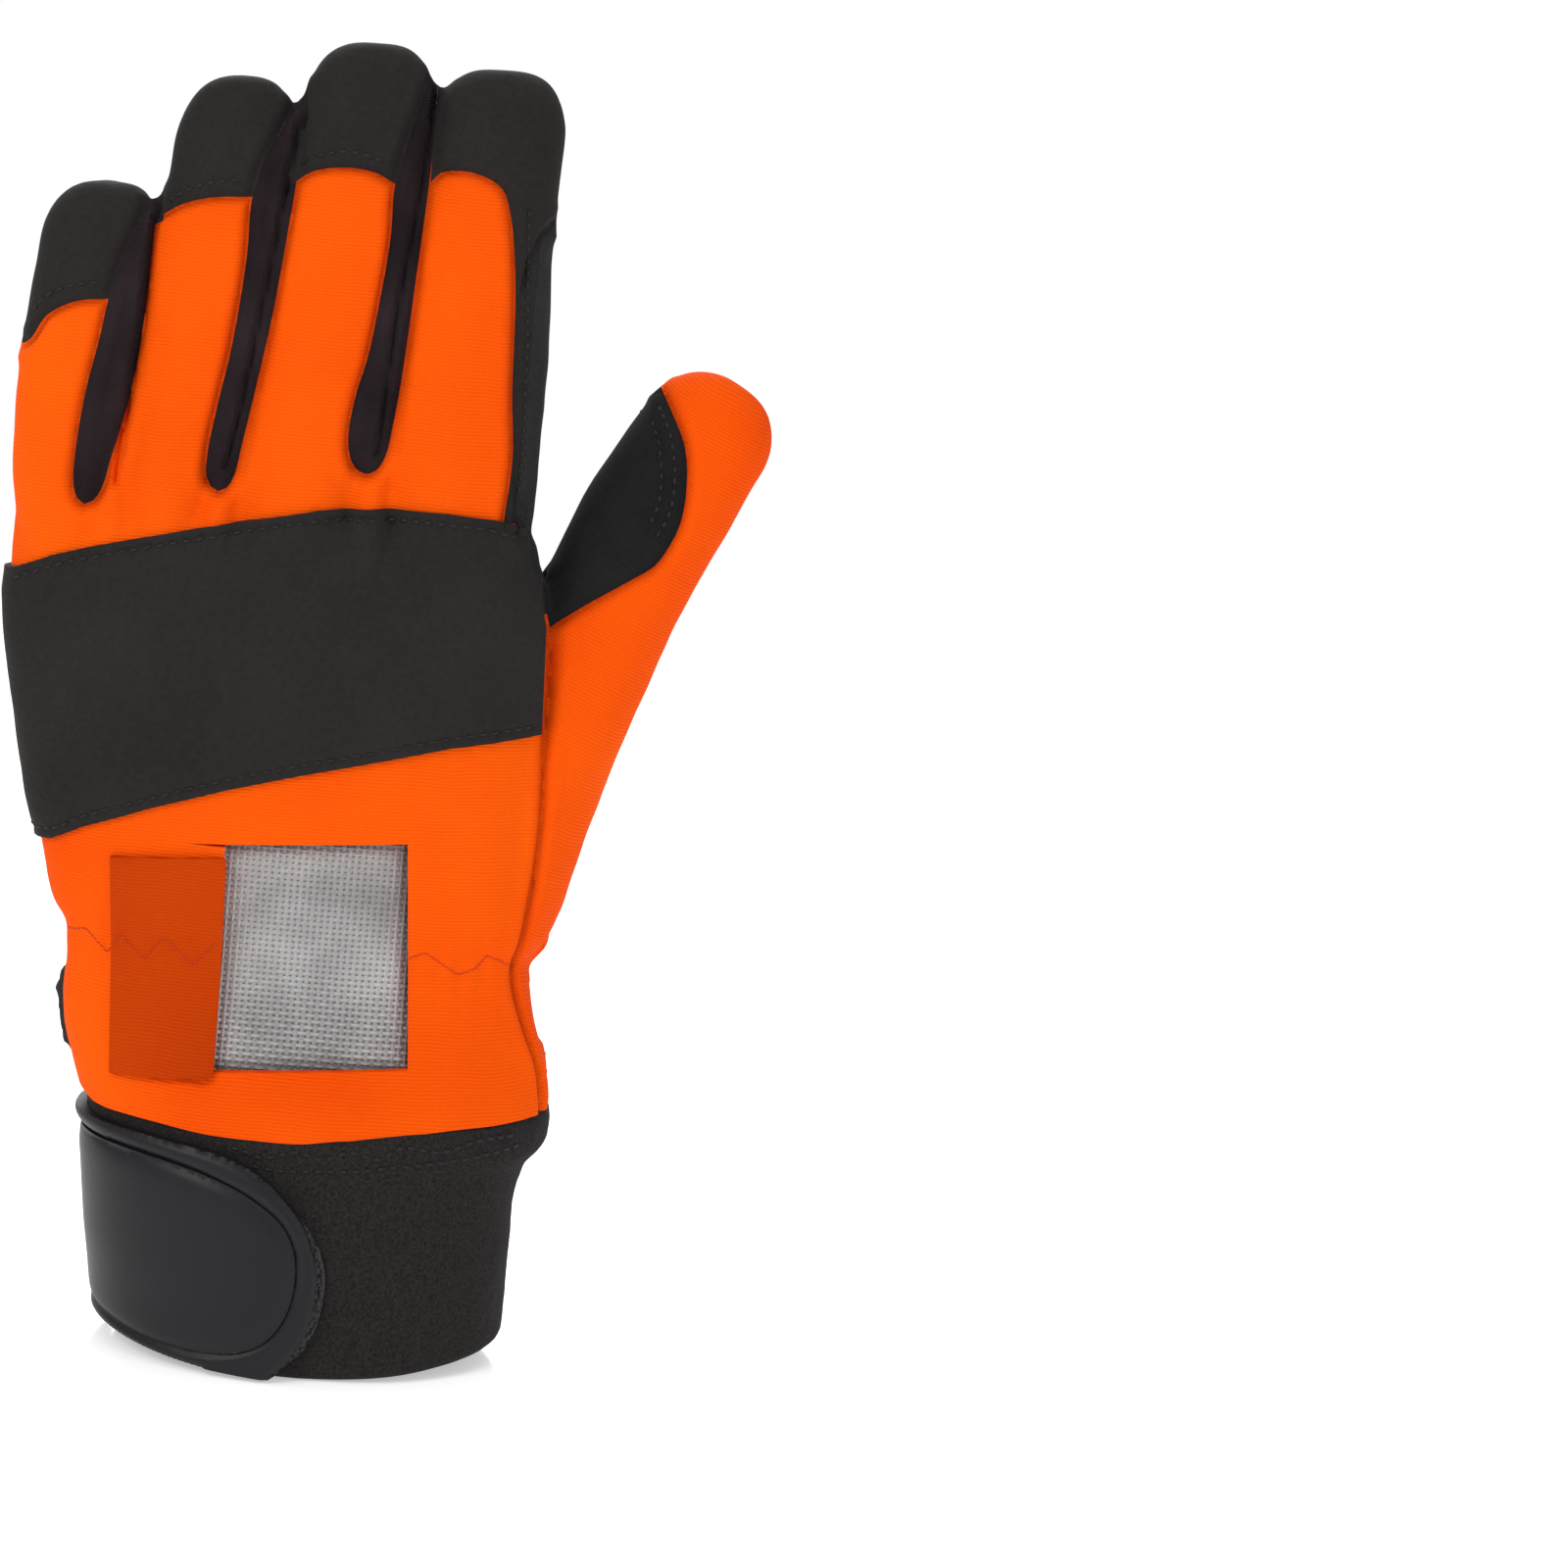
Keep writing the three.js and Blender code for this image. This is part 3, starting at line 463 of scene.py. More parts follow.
seam_places = []
for line in ([back_thumb_seam, patch_back_seam, index_side_seam] + list(cap_seams.values())
             + [gusset_left_seams[pair] + gusset_right_seams[pair][1:] for pair in gusset_left_seams]):
    seam_places += [place for place, normal in on_surface(body_tree, smooth_line(line, 0.5), True)]
for line in ([patch_palm_seam, thumb_rim, palm_left_edge] + list(palm_arms.values())):
    for place, normal in on_surface(body_tree, smooth_line(line, 0.5), False):
        if place.y > 2 and (line not in palm_arms.values() or place.z > 165):
            seam_places.append(place)
seam_tree = tree_of(seam_places)
crease_places = []
crease_feet = {"little_ring": 167, "ring_middle": 172, "middle_index": 177}
for pair, line in creases.items():
    above_foot = [(x, z) for x, z in smooth_line(line, 0.4) if z > crease_feet[pair]]
    crease_places += [place for place, normal in on_surface(body_tree, above_foot, True)]
crease_tree = tree_of(crease_places)
stitch_tree = tree_of([place for line in cap_stitch_lines + [side_stitch_line] + patch_stitch_lines
                       for place, normal in on_surface(body_tree, smooth_line(line, 0.4), True)])

# Wrist gathers: a stitched elastic pulls the back in on both sides of the window
GATHER_Z = 79.5
GATHER_DEPTH = 1.0
count = len(body.data.vertices)
body_places = np.empty(count * 3)
body.data.vertices.foreach_get("co", body_places)
body_places = body_places.reshape(-1, 3)
body_normals = np.empty(count * 3)
body.data.vertex_normals.foreach_get("vector", body_normals)
body_normals = body_normals.reshape(-1, 3)
seam_reach = np.array([seam_tree.find(place)[2] for place in body_places])
crease_reach = np.array([crease_tree.find(place)[2] for place in body_places])
stitch_reach = np.array([stitch_tree.find(place)[2] for place in body_places])
slow = np.array([noise.noise(Vector(place) * 0.045) for place in body_places])
quick = np.array([noise.noise(Vector(place) * 0.16) for place in body_places])
x, y, z = body_places.T
push = 0.55 * slow + 0.16 * quick
push -= SEAM_DEPTH * np.exp(-(seam_reach / SEAM_WIDTH) ** 2)
push += 0.35 * (1 + quick) * np.exp(-((seam_reach - 2.6) / 1.3) ** 2)
push -= 2.2 * np.exp(-(crease_reach / 0.7) ** 2)
push -= 0.45 * np.exp(-(stitch_reach / 0.75) ** 2)
beside_window = np.clip((np.abs(x + 3) - 17) / 5, 0, 1)
gather = np.exp(-((z - GATHER_Z) / 3.2) ** 2) * (y < 4) * beside_window
pleats = np.cos(x * 2 * math.pi / 4.6 + 3 * slow) * np.exp(-((z - GATHER_Z) / 8) ** 2)
push += -GATHER_DEPTH * gather + 0.16 * pleats * (y < 6) * beside_window
heel_folds = np.exp(-((z - 66) / 16) ** 2) * (y > 4)
push += heel_folds * 0.9 * np.sin((z + 3 * quick + 0.04 * (x + 8) ** 2 * 0.2) * 2 * math.pi / 11)
padded_field = np.exp(-((z - 128 - 0.12 * (x + 40)) / 8.5) ** 4) * np.exp(-((x + 28) / 31) ** 6) * (y > 4)
push += 1.3 * padded_field
palm_puff = np.exp(-((z - 61) / 9) ** 4) * np.clip((y - 2) / 1.5, 0, 1) * np.clip((-38 - x) / 8, 0, 1)
push += 1.9 * palm_puff
push[z < 44.8] = 0
unpushed_tree = tree_of(body_places)
body_places = body_places + body_normals * push[:, None]
body.data.vertices.foreach_set("co", body_places.ravel())
body.data.update()
body_tree = BVHTree.FromPolygons([v.co for v in body.data.vertices],
                                 [p.vertices for p in body.data.polygons])
pushed_tree = tree_of(body_places)

# Wall of the body, open at the wrist
hollow = merged_body("hollow", -WALL, 1.5, 8)
for vertex, normal in zip(hollow.data.vertices, [n.vector.copy() for n in hollow.data.vertex_normals]):
    nearest = unpushed_tree.find(vertex.co)[1]
    vertex.co += normal * min(0, float(push[nearest]))


def cut(piece, cutter, operation):
    """Cuts a piece with another object and keeps the result in the piece."""
    step = piece.modifiers.new("cut", "BOOLEAN")
    step.operation = operation
    step.solver = "MANIFOLD"
    step.object = cutter
    settle(piece)


def discard(*objects):
    """Removes helper objects."""
    for helper in objects:
        mesh = helper.data
        bpy.data.objects.remove(helper)
        bpy.data.meshes.remove(mesh)


def grown(outline, distance):
    """The closed outline moved outwards by a distance."""
    points = [Vector(point) for point in outline]
    area = sum(a.x * b.y - b.x * a.y for a, b in zip(points, points[1:] + points[:1]))
    turn = 1 if area > 0 else -1
    result = []
    for i, point in enumerate(points):
        before = (point - points[i - 1]).normalized()
        after = (points[(i + 1) % len(points)] - point).normalized()
        normal = Vector((before.y + after.y, -before.x - after.x)).normalized() * turn
        miter = max(0.5, normal.dot(Vector((before.y, -before.x)) * turn))
        result.append(tuple(point + normal * (distance / miter)))
    return result


def prism(outline, y_from=-120, y_to=120):
    """A solid of a closed [x, z] outline between two depths."""
    bm = bmesh.new()
    face = bm.faces.new([bm.verts.new((x, y_from, z)) for x, z in outline])
    pushed = bmesh.ops.extrude_face_region(bm, geom=[face])["geom"]
    corners = [part for part in pushed if isinstance(part, bmesh.types.BMVert)]
    bmesh.ops.translate(bm, vec=(0, y_to - y_from, 0), verts=corners)
    bmesh.ops.recalc_face_normals(bm, faces=bm.faces)
    return add_object("cutter", bm)


def palm_side(line, shift=0):
    """Everything on the palm side of a line of (y, z)."""
    bm = bmesh.new()
    outline = [(y + shift, z) for y, z in line] + [(120, line[-1][1]), (120, line[0][1])]
    face = bm.faces.new([bm.verts.new((-200, y, z)) for y, z in outline])
    pushed = bmesh.ops.extrude_face_region(bm, geom=[face])["geom"]
    corners = [part for part in pushed if isinstance(part, bmesh.types.BMVert)]
    bmesh.ops.translate(bm, vec=(400, 0, 0), verts=corners)
    bmesh.ops.recalc_face_normals(bm, faces=bm.faces)
    return add_object("cutter", bm)


def together(first, *others):
    """One helper solid made of several."""
    for other in others:
        cut(first, other, "UNION")
        discard(other)
    return first


def only(first, other, operation="INTERSECT"):
    """What is left of a helper solid after a cut."""
    cut(first, other, operation)
    discard(other)
    return first


def keep_largest(piece):
    """Removes slivers that a cut has left beside a piece."""
    bm = bmesh.new()
    bm.from_mesh(piece.data)
    islands = []
    unseen = set(bm.verts)
    while unseen:
        island = set()
        front = [unseen.pop()]
        while front:
            vertex = front.pop()
            island.add(vertex)
            for edge in vertex.link_edges:
                other = edge.other_vert(vertex)
                if other in unseen:
                    unseen.discard(other)
                    front.append(other)
        islands.append(island)
    islands.sort(key=len)
    for island in islands[:-1]:
        bmesh.ops.delete(bm, geom=list(island), context="VERTS")
    bm.to_mesh(piece.data)
    bm.free()


def finish_piece(piece, material, soft_angle=42):
    """Turns a piece from millimetres to metres, smooths its shading and gives it its material."""
    piece.data.transform(Matrix.Scale(0.001, 4))
    piece.data.materials.clear()
    piece.data.materials.append(material)
    piece.data.shade_smooth()
    piece.data.set_sharp_from_angle(angle=math.radians(soft_angle))
    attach(piece, "root")


skin_mesh = body.data.copy()
wall = body
cut(wall, hollow, "DIFFERENCE")
discard(hollow)
back_lower_edge = [(-60, 49), (-46, 48.3), (-43, 46.9), (-36, 46.7), (-28, 46.3), (-21.5, 45.7), (-12, 45.6),
                   (-2.4, 45.7), (7, 46.6), (16.6, 48.2), (26, 49.6), (36, 50.3), (44.8, 51), (60, 51)]
above_cuff = together(
    prism(smooth_line(back_lower_edge, 2) + [(200, 51), (200, 400), (-200, 400), (-200, 49)], -120, 5),
    prism([(-200, 46), (200, 46), (200, 400), (-200, 400)], 4, 120),
)
cut(wall, above_cuff, "INTERSECT")
discard(above_cuff)

# Patch between thumb and index finger
# A saddle of suede-like cloth, sewn over the crotch from the back of the thumb round to the palm.
# The helpers for shaders and for cutting a piece out of the wall stand here, where they are first used.


def node_group(name, **inputs):
    """A shader node group that gives a Colour and a Height, with its input and output sockets."""
    group = bpy.data.node_groups.new(name, "ShaderNodeTree")
    for label, kind in inputs.items():
        group.interface.new_socket(label, in_out="INPUT", socket_type=f"NodeSocket{kind}")
    group.interface.new_socket("Colour", in_out="OUTPUT", socket_type="NodeSocketColor")
    group.interface.new_socket("Height", in_out="OUTPUT", socket_type="NodeSocketFloat")
    return group, group.nodes.new("NodeGroupInput").outputs, group.nodes.new("NodeGroupOutput").inputs


def node(tree, kind, settings=None, **inputs):
    """A node with its settings and inputs; an input that is a socket is linked."""
    made = tree.nodes.new(kind)
    for label, value in (settings or {}).items():
        setattr(made, label, value)
    for label, value in inputs.items():
        key = label.replace("_", " ")
        place = made.inputs[int(key[1:])] if key[0] == "i" and key[1:].isdigit() else made.inputs[key]
        if isinstance(value, bpy.types.NodeSocket):
            tree.links.new(value, place)
        else:
            place.default_value = value
    return made


def maths(tree, operation, first, second=0.0, third=0.0):
    """A math node's result."""
    return node(tree, "ShaderNodeMath", {"operation": operation}, i0=first, i1=second, i2=third).outputs[0]


def blend(tree, share, first, second):
    """A mix of two colours."""
    mix = node(tree, "ShaderNodeMix", {"data_type": "RGBA"})
    for value, place in ((share, mix.inputs[0]), (first, mix.inputs[6]), (second, mix.inputs[7])):
        if isinstance(value, bpy.types.NodeSocket):
            tree.links.new(value, place)
        else:
            place.default_value = value
    return mix.outputs[2]


def noise_at(tree, place, scale, detail=2, roughness=0.5):
    """A noise value from 0 to 1."""
    return node(tree, "ShaderNodeTexNoise", None, Vector=place, Scale=scale, Detail=detail,
                Roughness=roughness).outputs["Fac"]


def stretched(tree, value, low, high):
    """A value from low to high brought to 0 to 1."""
    return node(tree, "ShaderNodeMapRange", None, Value=value, From_Min=low, From_Max=high).outputs[0]


def new_cloth(name, roughness, sheen=0.0, gloss=0.04, metallic=0.0):
    """A material with its constants set; returns it with its tree, shader and place."""
    material = bpy.data.materials.new(name)
    material.use_nodes = True
    tree = material.node_tree
    shader = tree.nodes["Principled BSDF"]
    shader.inputs["Roughness"].default_value = roughness
    shader.inputs["Sheen Weight"].default_value = sheen
    shader.inputs["Sheen Roughness"].default_value = 0.5
    shader.inputs["Specular IOR Level"].default_value = gloss
    shader.inputs["Metallic"].default_value = metallic
    place = tree.nodes.new("ShaderNodeTexCoord").outputs["Object"]
    return material, tree, shader, place


def dress(tree, shader, colour, height, depth):
    """Gives a shader its colour and a bump of a depth in metres."""
    tree.links.new(colour, shader.inputs["Base Color"])
    bump = node(tree, "ShaderNodeBump", None, Strength=1.0, Distance=depth, Height=height)
    tree.links.new(bump.outputs["Normal"], shader.inputs["Normal"])


def grouped(material_parts, group, depth, **values):
    """Places a node group in a material with its own values and dresses the shader with what it gives."""
    material, tree, shader, place = material_parts
    given = node(tree, "ShaderNodeGroup", {"node_tree": group}, Place=place, **values).outputs
    dress(tree, shader, given["Colour"], given["Height"], depth)
    return material


# Short nap lying in small patches, with paler rubbed places
suede_nap, taking, giving = node_group("suede_nap", Place="Vector", Dark="Color", Light="Color")
nap = noise_at(suede_nap, taking["Place"], 1500, 3, 0.65)
patches = noise_at(suede_nap, taking["Place"], 160, 4, 0.6)
rubbed = stretched(suede_nap, noise_at(suede_nap, taking["Place"], 28, 2), 0.35, 0.7)
tone = maths(suede_nap, "MULTIPLY_ADD", patches, 0.35, maths(suede_nap, "MULTIPLY", rubbed, 0.25))
tone = stretched(suede_nap, maths(suede_nap, "MULTIPLY_ADD", nap, 0.5, tone), 0.3, 0.85)
suede_nap.links.new(blend(suede_nap, tone, taking["Dark"], taking["Light"]), giving["Colour"])
suede_nap.links.new(maths(suede_nap, "MULTIPLY_ADD", nap, 0.7, patches), giving["Height"])


taken = None


def sewn_piece(name, region):
    """A piece of the wall, less what the pieces before it have taken. region(gap) gives its cutter,
    grown by the gap for its neighbours."""
    global taken
    piece = bpy.data.objects.new(name, wall.data.copy())
    bpy.context.scene.collection.objects.link(piece)
    piece = only(piece, region(0))
    if taken:
        cut(piece, taken, "DIFFERENCE")
        taken = together(taken, region(SEAM_GAP))
    else:
        taken = region(SEAM_GAP)
    keep_largest(piece)
    return piece


patch_far = [(35.4, 150), (34, 158), (33.2, 172), (40, 198), (50, 200)]
patch_far_palm = [(28, 138), (31.4, 148), (33, 158), (33.2, 172), (40, 198), (50, 200)]


def patch_region(gap):
    back_part = prism(grown(smooth_line(patch_back_seam) + patch_far, gap))
    palm_part = prism(grown(smooth_line(patch_palm_seam) + patch_far_palm, gap))
    back_part = only(back_part, palm_side(thumb_middle_line, gap), "DIFFERENCE")
    return together(back_part, only(palm_part, palm_side(thumb_middle_line, -gap)))


patch_material = grouped(new_cloth("patch_suede", 0.92, sheen=0.03), suede_nap, 0.00012,
                         Dark=(0.0085, 0.0085, 0.009, 1), Light=(0.0195, 0.0195, 0.0205, 1))
crotch_patch = sewn_piece("thumb_crotch_patch_cloth", patch_region)
finish_piece(crotch_patch, patch_material)
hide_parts("thumb_crotch_patch")

# Palm panel
# Suede-like cloth over the palm, the palm side of fingers and thumb, and the outer edge of the index
# finger. One piece, cut with an arm for each finger.
palm_outline = ([(x, z) for x, z in palm_left_edge] + [(-57, 161), (30, 163)] + palm_right_edge[::-1])
thumb_arm = thumb_rim + [(50, 186), (36, 160), (10, 150), (0, 60), (30, 44)]
index_wrap = [(31, 148), (28.2, 164), (28.2, 220), (31, 223), (40, 223), (40, 148)]


def palm_region(gap):
    arms = together(prism(grown(smooth_line(palm_outline, 2, True), gap)),
                    *[prism(grown(arm, gap)) for arm in palm_arms.values()])
    arms = only(arms, palm_side(finger_middle_line, -gap))
    thumb = only(prism(grown(smooth_line(thumb_arm, 2, True), gap)), palm_side(thumb_middle_line, -gap))
    return together(arms, thumb, prism(grown(index_wrap, gap)))


palm_material = grouped(new_cloth("palm_suede", 0.92, sheen=0.03), suede_nap, 0.00012,
                        Dark=(0.0115, 0.0115, 0.0122, 1), Light=(0.0345, 0.0345, 0.0368, 1))
palm = sewn_piece("palm_panel_cloth", palm_region)
finish_piece(palm, palm_material)
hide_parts("palm_panel")

# Fingertip caps
# Foam-backed black cloth sewn over each fingertip; the index finger's cap runs on down its outer side.
cap_far = {
    "little": [(-50.5, 208), (-47.5, 216), (-45.2, 222), (-45, 230), (-75, 230)],
    "ring": [(-25.2, 230), (-22, 237), (-18.9, 242.5), (-19, 250), (-45, 250)],
    "middle": [(2, 238), (5.5, 251), (5, 260), (-18.9, 260), (-18.9, 241)],
    "index": [(40, 166), (40, 260), (6.2, 260), (6.2, 243)],
}
cap_material, cap_tree, cap_shader, cap_place = new_cloth("cap_cloth", 0.72, sheen=0.02)
cap_ribs = node(cap_tree, "ShaderNodeTexWave", {"bands_direction": "Z"}, Vector=cap_place, Scale=190,
                Distortion=1.2, Detail=1, Detail_Scale=3).outputs["Fac"]
cap_grain = noise_at(cap_tree, cap_place, 900, 3)
cap_drift = noise_at(cap_tree, cap_place, 40, 2)
cap_tone = maths(cap_tree, "MULTIPLY_ADD", cap_grain, 0.5, maths(cap_tree, "MULTIPLY", cap_drift, 0.5))
cap_colour = blend(cap_tree, stretched(cap_tree, cap_tone, 0.3, 0.7), (0.0165, 0.0145, 0.014, 1),
                   (0.0245, 0.0225, 0.0215, 1))
dress(cap_tree, cap_shader, cap_colour, maths(cap_tree, "MULTIPLY_ADD", cap_ribs, 0.4, cap_grain), 0.00007)

for finger in ("little", "ring", "middle", "index"):
    outline = smooth_line(cap_seams[finger]) + cap_far[finger]
    cap = sewn_piece(f"fingertip_cap_{finger}_cloth", lambda gap: prism(grown(outline, gap)))
    finish_piece(cap, cap_material)
    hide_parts(f"fingertip_cap_{finger}")

# Gussets between the fingers
# Fine black knit with a purple-brown cast, one strip up and down each pair of neighbouring fingers.
CREASE_HALF_WIDTH = 3
knit_material, knit_tree, knit_shader, knit_place = new_cloth("black_knit", 0.85, sheen=0.03)
knit_split = node(knit_tree, "ShaderNodeSeparateXYZ", None, Vector=knit_place)
knit_wale, knit_course = (
    maths(knit_tree, "SINE", maths(knit_tree, "MULTIPLY", knit_split.outputs[axis], 2 * math.pi / pitch))
    for axis, pitch in ((0, 0.0008), (2, 0.00055))
)
knit_drift = noise_at(knit_tree, knit_place, 60, 3)
knit_colour = blend(knit_tree, stretched(knit_tree, knit_drift, 0.3, 0.7), (0.0125, 0.0085, 0.0105, 1),
                    (0.026, 0.0185, 0.0215, 1))
knit_height = maths(knit_tree, "MULTIPLY_ADD", knit_wale, 0.5, knit_course)
dress(knit_tree, knit_shader, knit_colour, knit_height, 0.00005)

for pair, caps_from in (("little_ring", 203), ("ring_middle", 224), ("middle_index", 229)):
    outline = smooth_line(gusset_left_seams[pair] + gusset_right_seams[pair][1:])
    left_count = len(smooth_line(gusset_left_seams[pair]))
    outline = [(x + (-1.5 if i < left_count else 1.5) * (z > caps_from + 13 * (i >= left_count)), z)
               for i, (x, z) in enumerate(outline)]
    crease = creases[pair]
    strip = ([(x - CREASE_HALF_WIDTH, z) for x, z in crease]
             + [(x + CREASE_HALF_WIDTH, z) for x, z in crease[::-1]])

    def gusset_region(gap):
        palm_strip = only(prism(grown(strip, gap)), palm_side(finger_middle_line, -gap))
        return together(prism(grown(outline, gap)), palm_strip)

    gusset = sewn_piece(f"gusset_{pair}_knit", gusset_region)
    finish_piece(gusset, knit_material)
    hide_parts(f"gusset_{pair}")

# Back panels of hand and thumb
# Orange stretch cloth over thin foam, ribbed across the hand. The back panel has the window cut in it.
RIB_PITCH = 0.00066


def mark_painted_seam_shade(piece):
    """Stores at each point how near a seam is; the cloth is darkened there as painted shade."""
    reach = np.array([seam_reach[pushed_tree.find(vertex.co)[1]] for vertex in piece.data.vertices])
    near = piece.data.attributes.new("seam", "FLOAT", "POINT")
    near.data.foreach_set("value", np.exp(-(reach / 0.8) ** 2))


# Fine ribs that lean with the limb, a colour that drifts slightly, and painted shade that darkens it along
# the seams
cloth_ribs, taking, giving = node_group("cloth_ribs", Place="Vector", Lean="Float",
                                        Dark="Color", Light="Color")
turn = node(cloth_ribs, "ShaderNodeCombineXYZ", None, Y=taking["Lean"]).outputs[0]
turned = node(cloth_ribs, "ShaderNodeMapping", None, Vector=taking["Place"], Rotation=turn).outputs[0]
height = node(cloth_ribs, "ShaderNodeSeparateXYZ", None, Vector=turned).outputs[2]
waver = maths(cloth_ribs, "MULTIPLY", noise_at(cloth_ribs, taking["Place"], 70, 2), 0.0016)
run = maths(cloth_ribs, "MULTIPLY", maths(cloth_ribs, "ADD", height, waver), 2 * math.pi / RIB_PITCH)
rib = maths(cloth_ribs, "MULTIPLY_ADD", maths(cloth_ribs, "SINE", run), 0.5, 0.5)
grain = noise_at(cloth_ribs, taking["Place"], 1300, 2)
drift = stretched(cloth_ribs, noise_at(cloth_ribs, taking["Place"], 22, 2), 0.3, 0.7)
tone = maths(cloth_ribs, "MULTIPLY_ADD", drift, 0.5, maths(cloth_ribs, "MULTIPLY", grain, 0.26))
tone = maths(cloth_ribs, "MULTIPLY_ADD", rib, 0.36, tone)
# Painted shade along the seams: near a seam the orange is darkened towards 0.42 of its dark tone
seam = node(cloth_ribs, "ShaderNodeAttribute", {"attribute_name": "seam"}).outputs["Fac"]
painted_seam_shade = blend(cloth_ribs, 0.42, (0, 0, 0, 1), taking["Dark"])
cloth_colour = blend(cloth_ribs, tone, taking["Dark"], taking["Light"])
cloth_colour = blend(cloth_ribs, maths(cloth_ribs, "MULTIPLY", seam, 0.75), cloth_colour, painted_seam_shade)
cloth_ribs.links.new(cloth_colour, giving["Colour"])
cloth_ribs.links.new(maths(cloth_ribs, "MULTIPLY_ADD", grain, 0.35, rib), giving["Height"])


def thumb_region(gap):
    outline = smooth_line(back_thumb_seam) + [(100, 40), (100, 210), (34.6, 210)]
    return prism(grown(outline, gap))


thumb_material = grouped(new_cloth("thumb_orange", 0.8), cloth_ribs, 0.00007, Lean=-0.42,
                         Dark=(0.74, 0.048, 0.001, 1), Light=(0.92, 0.104, 0.002, 1))
thumb_back = sewn_piece("thumb_back_panel_cloth", thumb_region)
mark_painted_seam_shade(thumb_back)
finish_piece(thumb_back, thumb_material)
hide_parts("thumb_back_panel")

window_outline = [(-21.5, 57), (16.9, 60.1), (13.1, 103.7), (-21.5, 100.7), (-28.6, 100.2), (-21.5, 100.1)]
back_material = grouped(new_cloth("back_orange", 0.8), cloth_ribs, 0.00007, Lean=0.0,
                        Dark=(0.75, 0.053, 0.001, 1), Light=(0.93, 0.114, 0.002, 1))
back = wall
cut(back, taken, "DIFFERENCE")
discard(taken)
cut_window = prism(window_outline, -120, 0)
cut(back, cut_window, "DIFFERENCE")
discard(cut_window)
keep_largest(back)
back.name = "back_panel_cloth"
mark_painted_seam_shade(back)
finish_piece(back, back_material)
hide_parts("back_panel")


# Band over the knuckles
# Black foam-backed cloth sewn on top of the back panel, from the thumb seam round the little-finger edge.
band_outline = [(-80, 144), (-66, 148.6), (-58.8, 152.3), (-49.6, 155.4), (-29.4, 160.8), (-8.9, 165.7),
                (2.3, 166.9), (15.4, 167.3), (24, 166.8), (30.4, 165.2), (33.6, 155), (36, 146),
                (37, 125.6), (19.5, 122.8), (5.6, 119.3), (-8.5, 115.6), (-22.3, 111.5), (-36.3, 106.4),
                (-49, 100.9), (-55.3, 97.1), (-80, 93)]
band_profile = ([0, 0.3, 0.8, 1.3, 1.9, 2.4, 3.2, 5, 9], [0.55, 0.95, 1.25, 1.2, 0.85, 1.25, 1.5, 1.7, 1.8])


def raised_cloth(name, outline, from_back, profile, region, sink=0.25, finer=True):
    """Cloth lying on the body inside an outline. The profile gives its height over the body at each
    distance from the edge, and the region is the solid that it is trimmed to."""
    line = smooth_line(outline, 0.4, True)
    edge_tree = tree_of([place for place, normal in on_surface(body_tree, line, from_back)])
    across = [x for x, z in line]
    along = [z for x, z in line]
    x, y, z = body_places.T
    side = y < 14 if from_back else y > -6
    near = ((x > min(across) - 2) & (x < max(across) + 2) & (z > min(along) - 2) & (z < max(along) + 2)
            & side)
    bm = bmesh.new()
    bm.from_mesh(skin_mesh)
    bmesh.ops.delete(bm, geom=[v for v, kept in zip(bm.verts, near) if not kept], context="VERTS")
    if finer:
        bmesh.ops.subdivide_edges(bm, edges=bm.edges, cuts=1, use_grid_fill=True, smooth=0)
    bm.normal_update()
    upper = [(v.co + v.normal * float(np.interp(edge_tree.find(v.co)[2], *profile))) for v in bm.verts]
    lower = [v.co - v.normal * sink for v in bm.verts]
    top_verts = list(bm.verts)
    pushed = bmesh.ops.extrude_face_region(bm, geom=bm.faces[:])["geom"]
    moved = [part for part in pushed if isinstance(part, bmesh.types.BMVert)]
    lookup = {tuple(v.co): i for i, v in enumerate(top_verts)}
    for vertex in moved:
        vertex.co = upper[lookup[tuple(vertex.co)]]
    for vertex, place in zip(top_verts, lower):
        vertex.co = place
    bmesh.ops.recalc_face_normals(bm, faces=bm.faces)
    piece = add_object(name, bm)
    cut(piece, region, "INTERSECT")
    discard(region)
    keep_largest(piece)
    return piece


band_region = together(
    prism(band_outline, -120, 2.4),
    only(prism(band_outline, 0, 9), prism([(-80, 93), (-60, 93), (-60, 137), (-80, 137)])),
)
band = raised_cloth("knuckle_band_cloth", band_outline, True, band_profile, band_region, finer=False)
finish_piece(band, cap_material)
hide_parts("knuckle_band")

# Palm pads
# Three foam pads of suede-like cloth sewn across the palm: a wide one under the fingers and two that slant
# up to the thumb.
palm_pads = {
    "palm_knuckle_pad": [(-63, 138), (-63.6, 155), (-60, 157), (-50, 156.5), (-44, 155.2), (-38, 155.6),
                         (-30, 159.4), (-24, 160.4), (-17, 158.8), (-8, 159), (0, 160), (6, 158.2),
                         (12, 156), (17, 156.4), (24, 159), (29, 159.4), (32.4, 157), (34, 152), (34, 146),
                         (31, 142), (20, 141.5), (5, 142), (-14, 141), (-33, 139.4), (-47, 138)],
    "palm_ridge_pad": [(-57.6, 103), (-58.6, 117), (-44, 117.7), (-30, 119), (-19, 122.7), (-7.5, 128.5),
                       (4, 134.4), (14, 138), (21, 139), (24.4, 136), (24.7, 131), (13, 124),
                       (-1.8, 116.4), (-16.6, 109.6), (-31, 105), (-44, 102.5)],
    "palm_heel_pad": [(-54.4, 91.4), (-57, 101.4), (-44, 101.1), (-31, 103.6), (-16.6, 108.2), (-1.8, 115),
                      (13, 122.6), (22, 127.4), (24, 124), (23.6, 113), (14.8, 110.5), (7, 107),
                      (-1.9, 100.9), (-11.8, 94.9), (-21.7, 90.7), (-32, 89.6), (-44, 89.9)],
}
palm_pad_profile = ([0, 0.3, 0.8, 1.4, 2, 3, 4.5, 6.5, 9], [0.2, 0.75, 1.1, 1.2, 1.55, 2.2, 2.8, 3.2, 3.3])
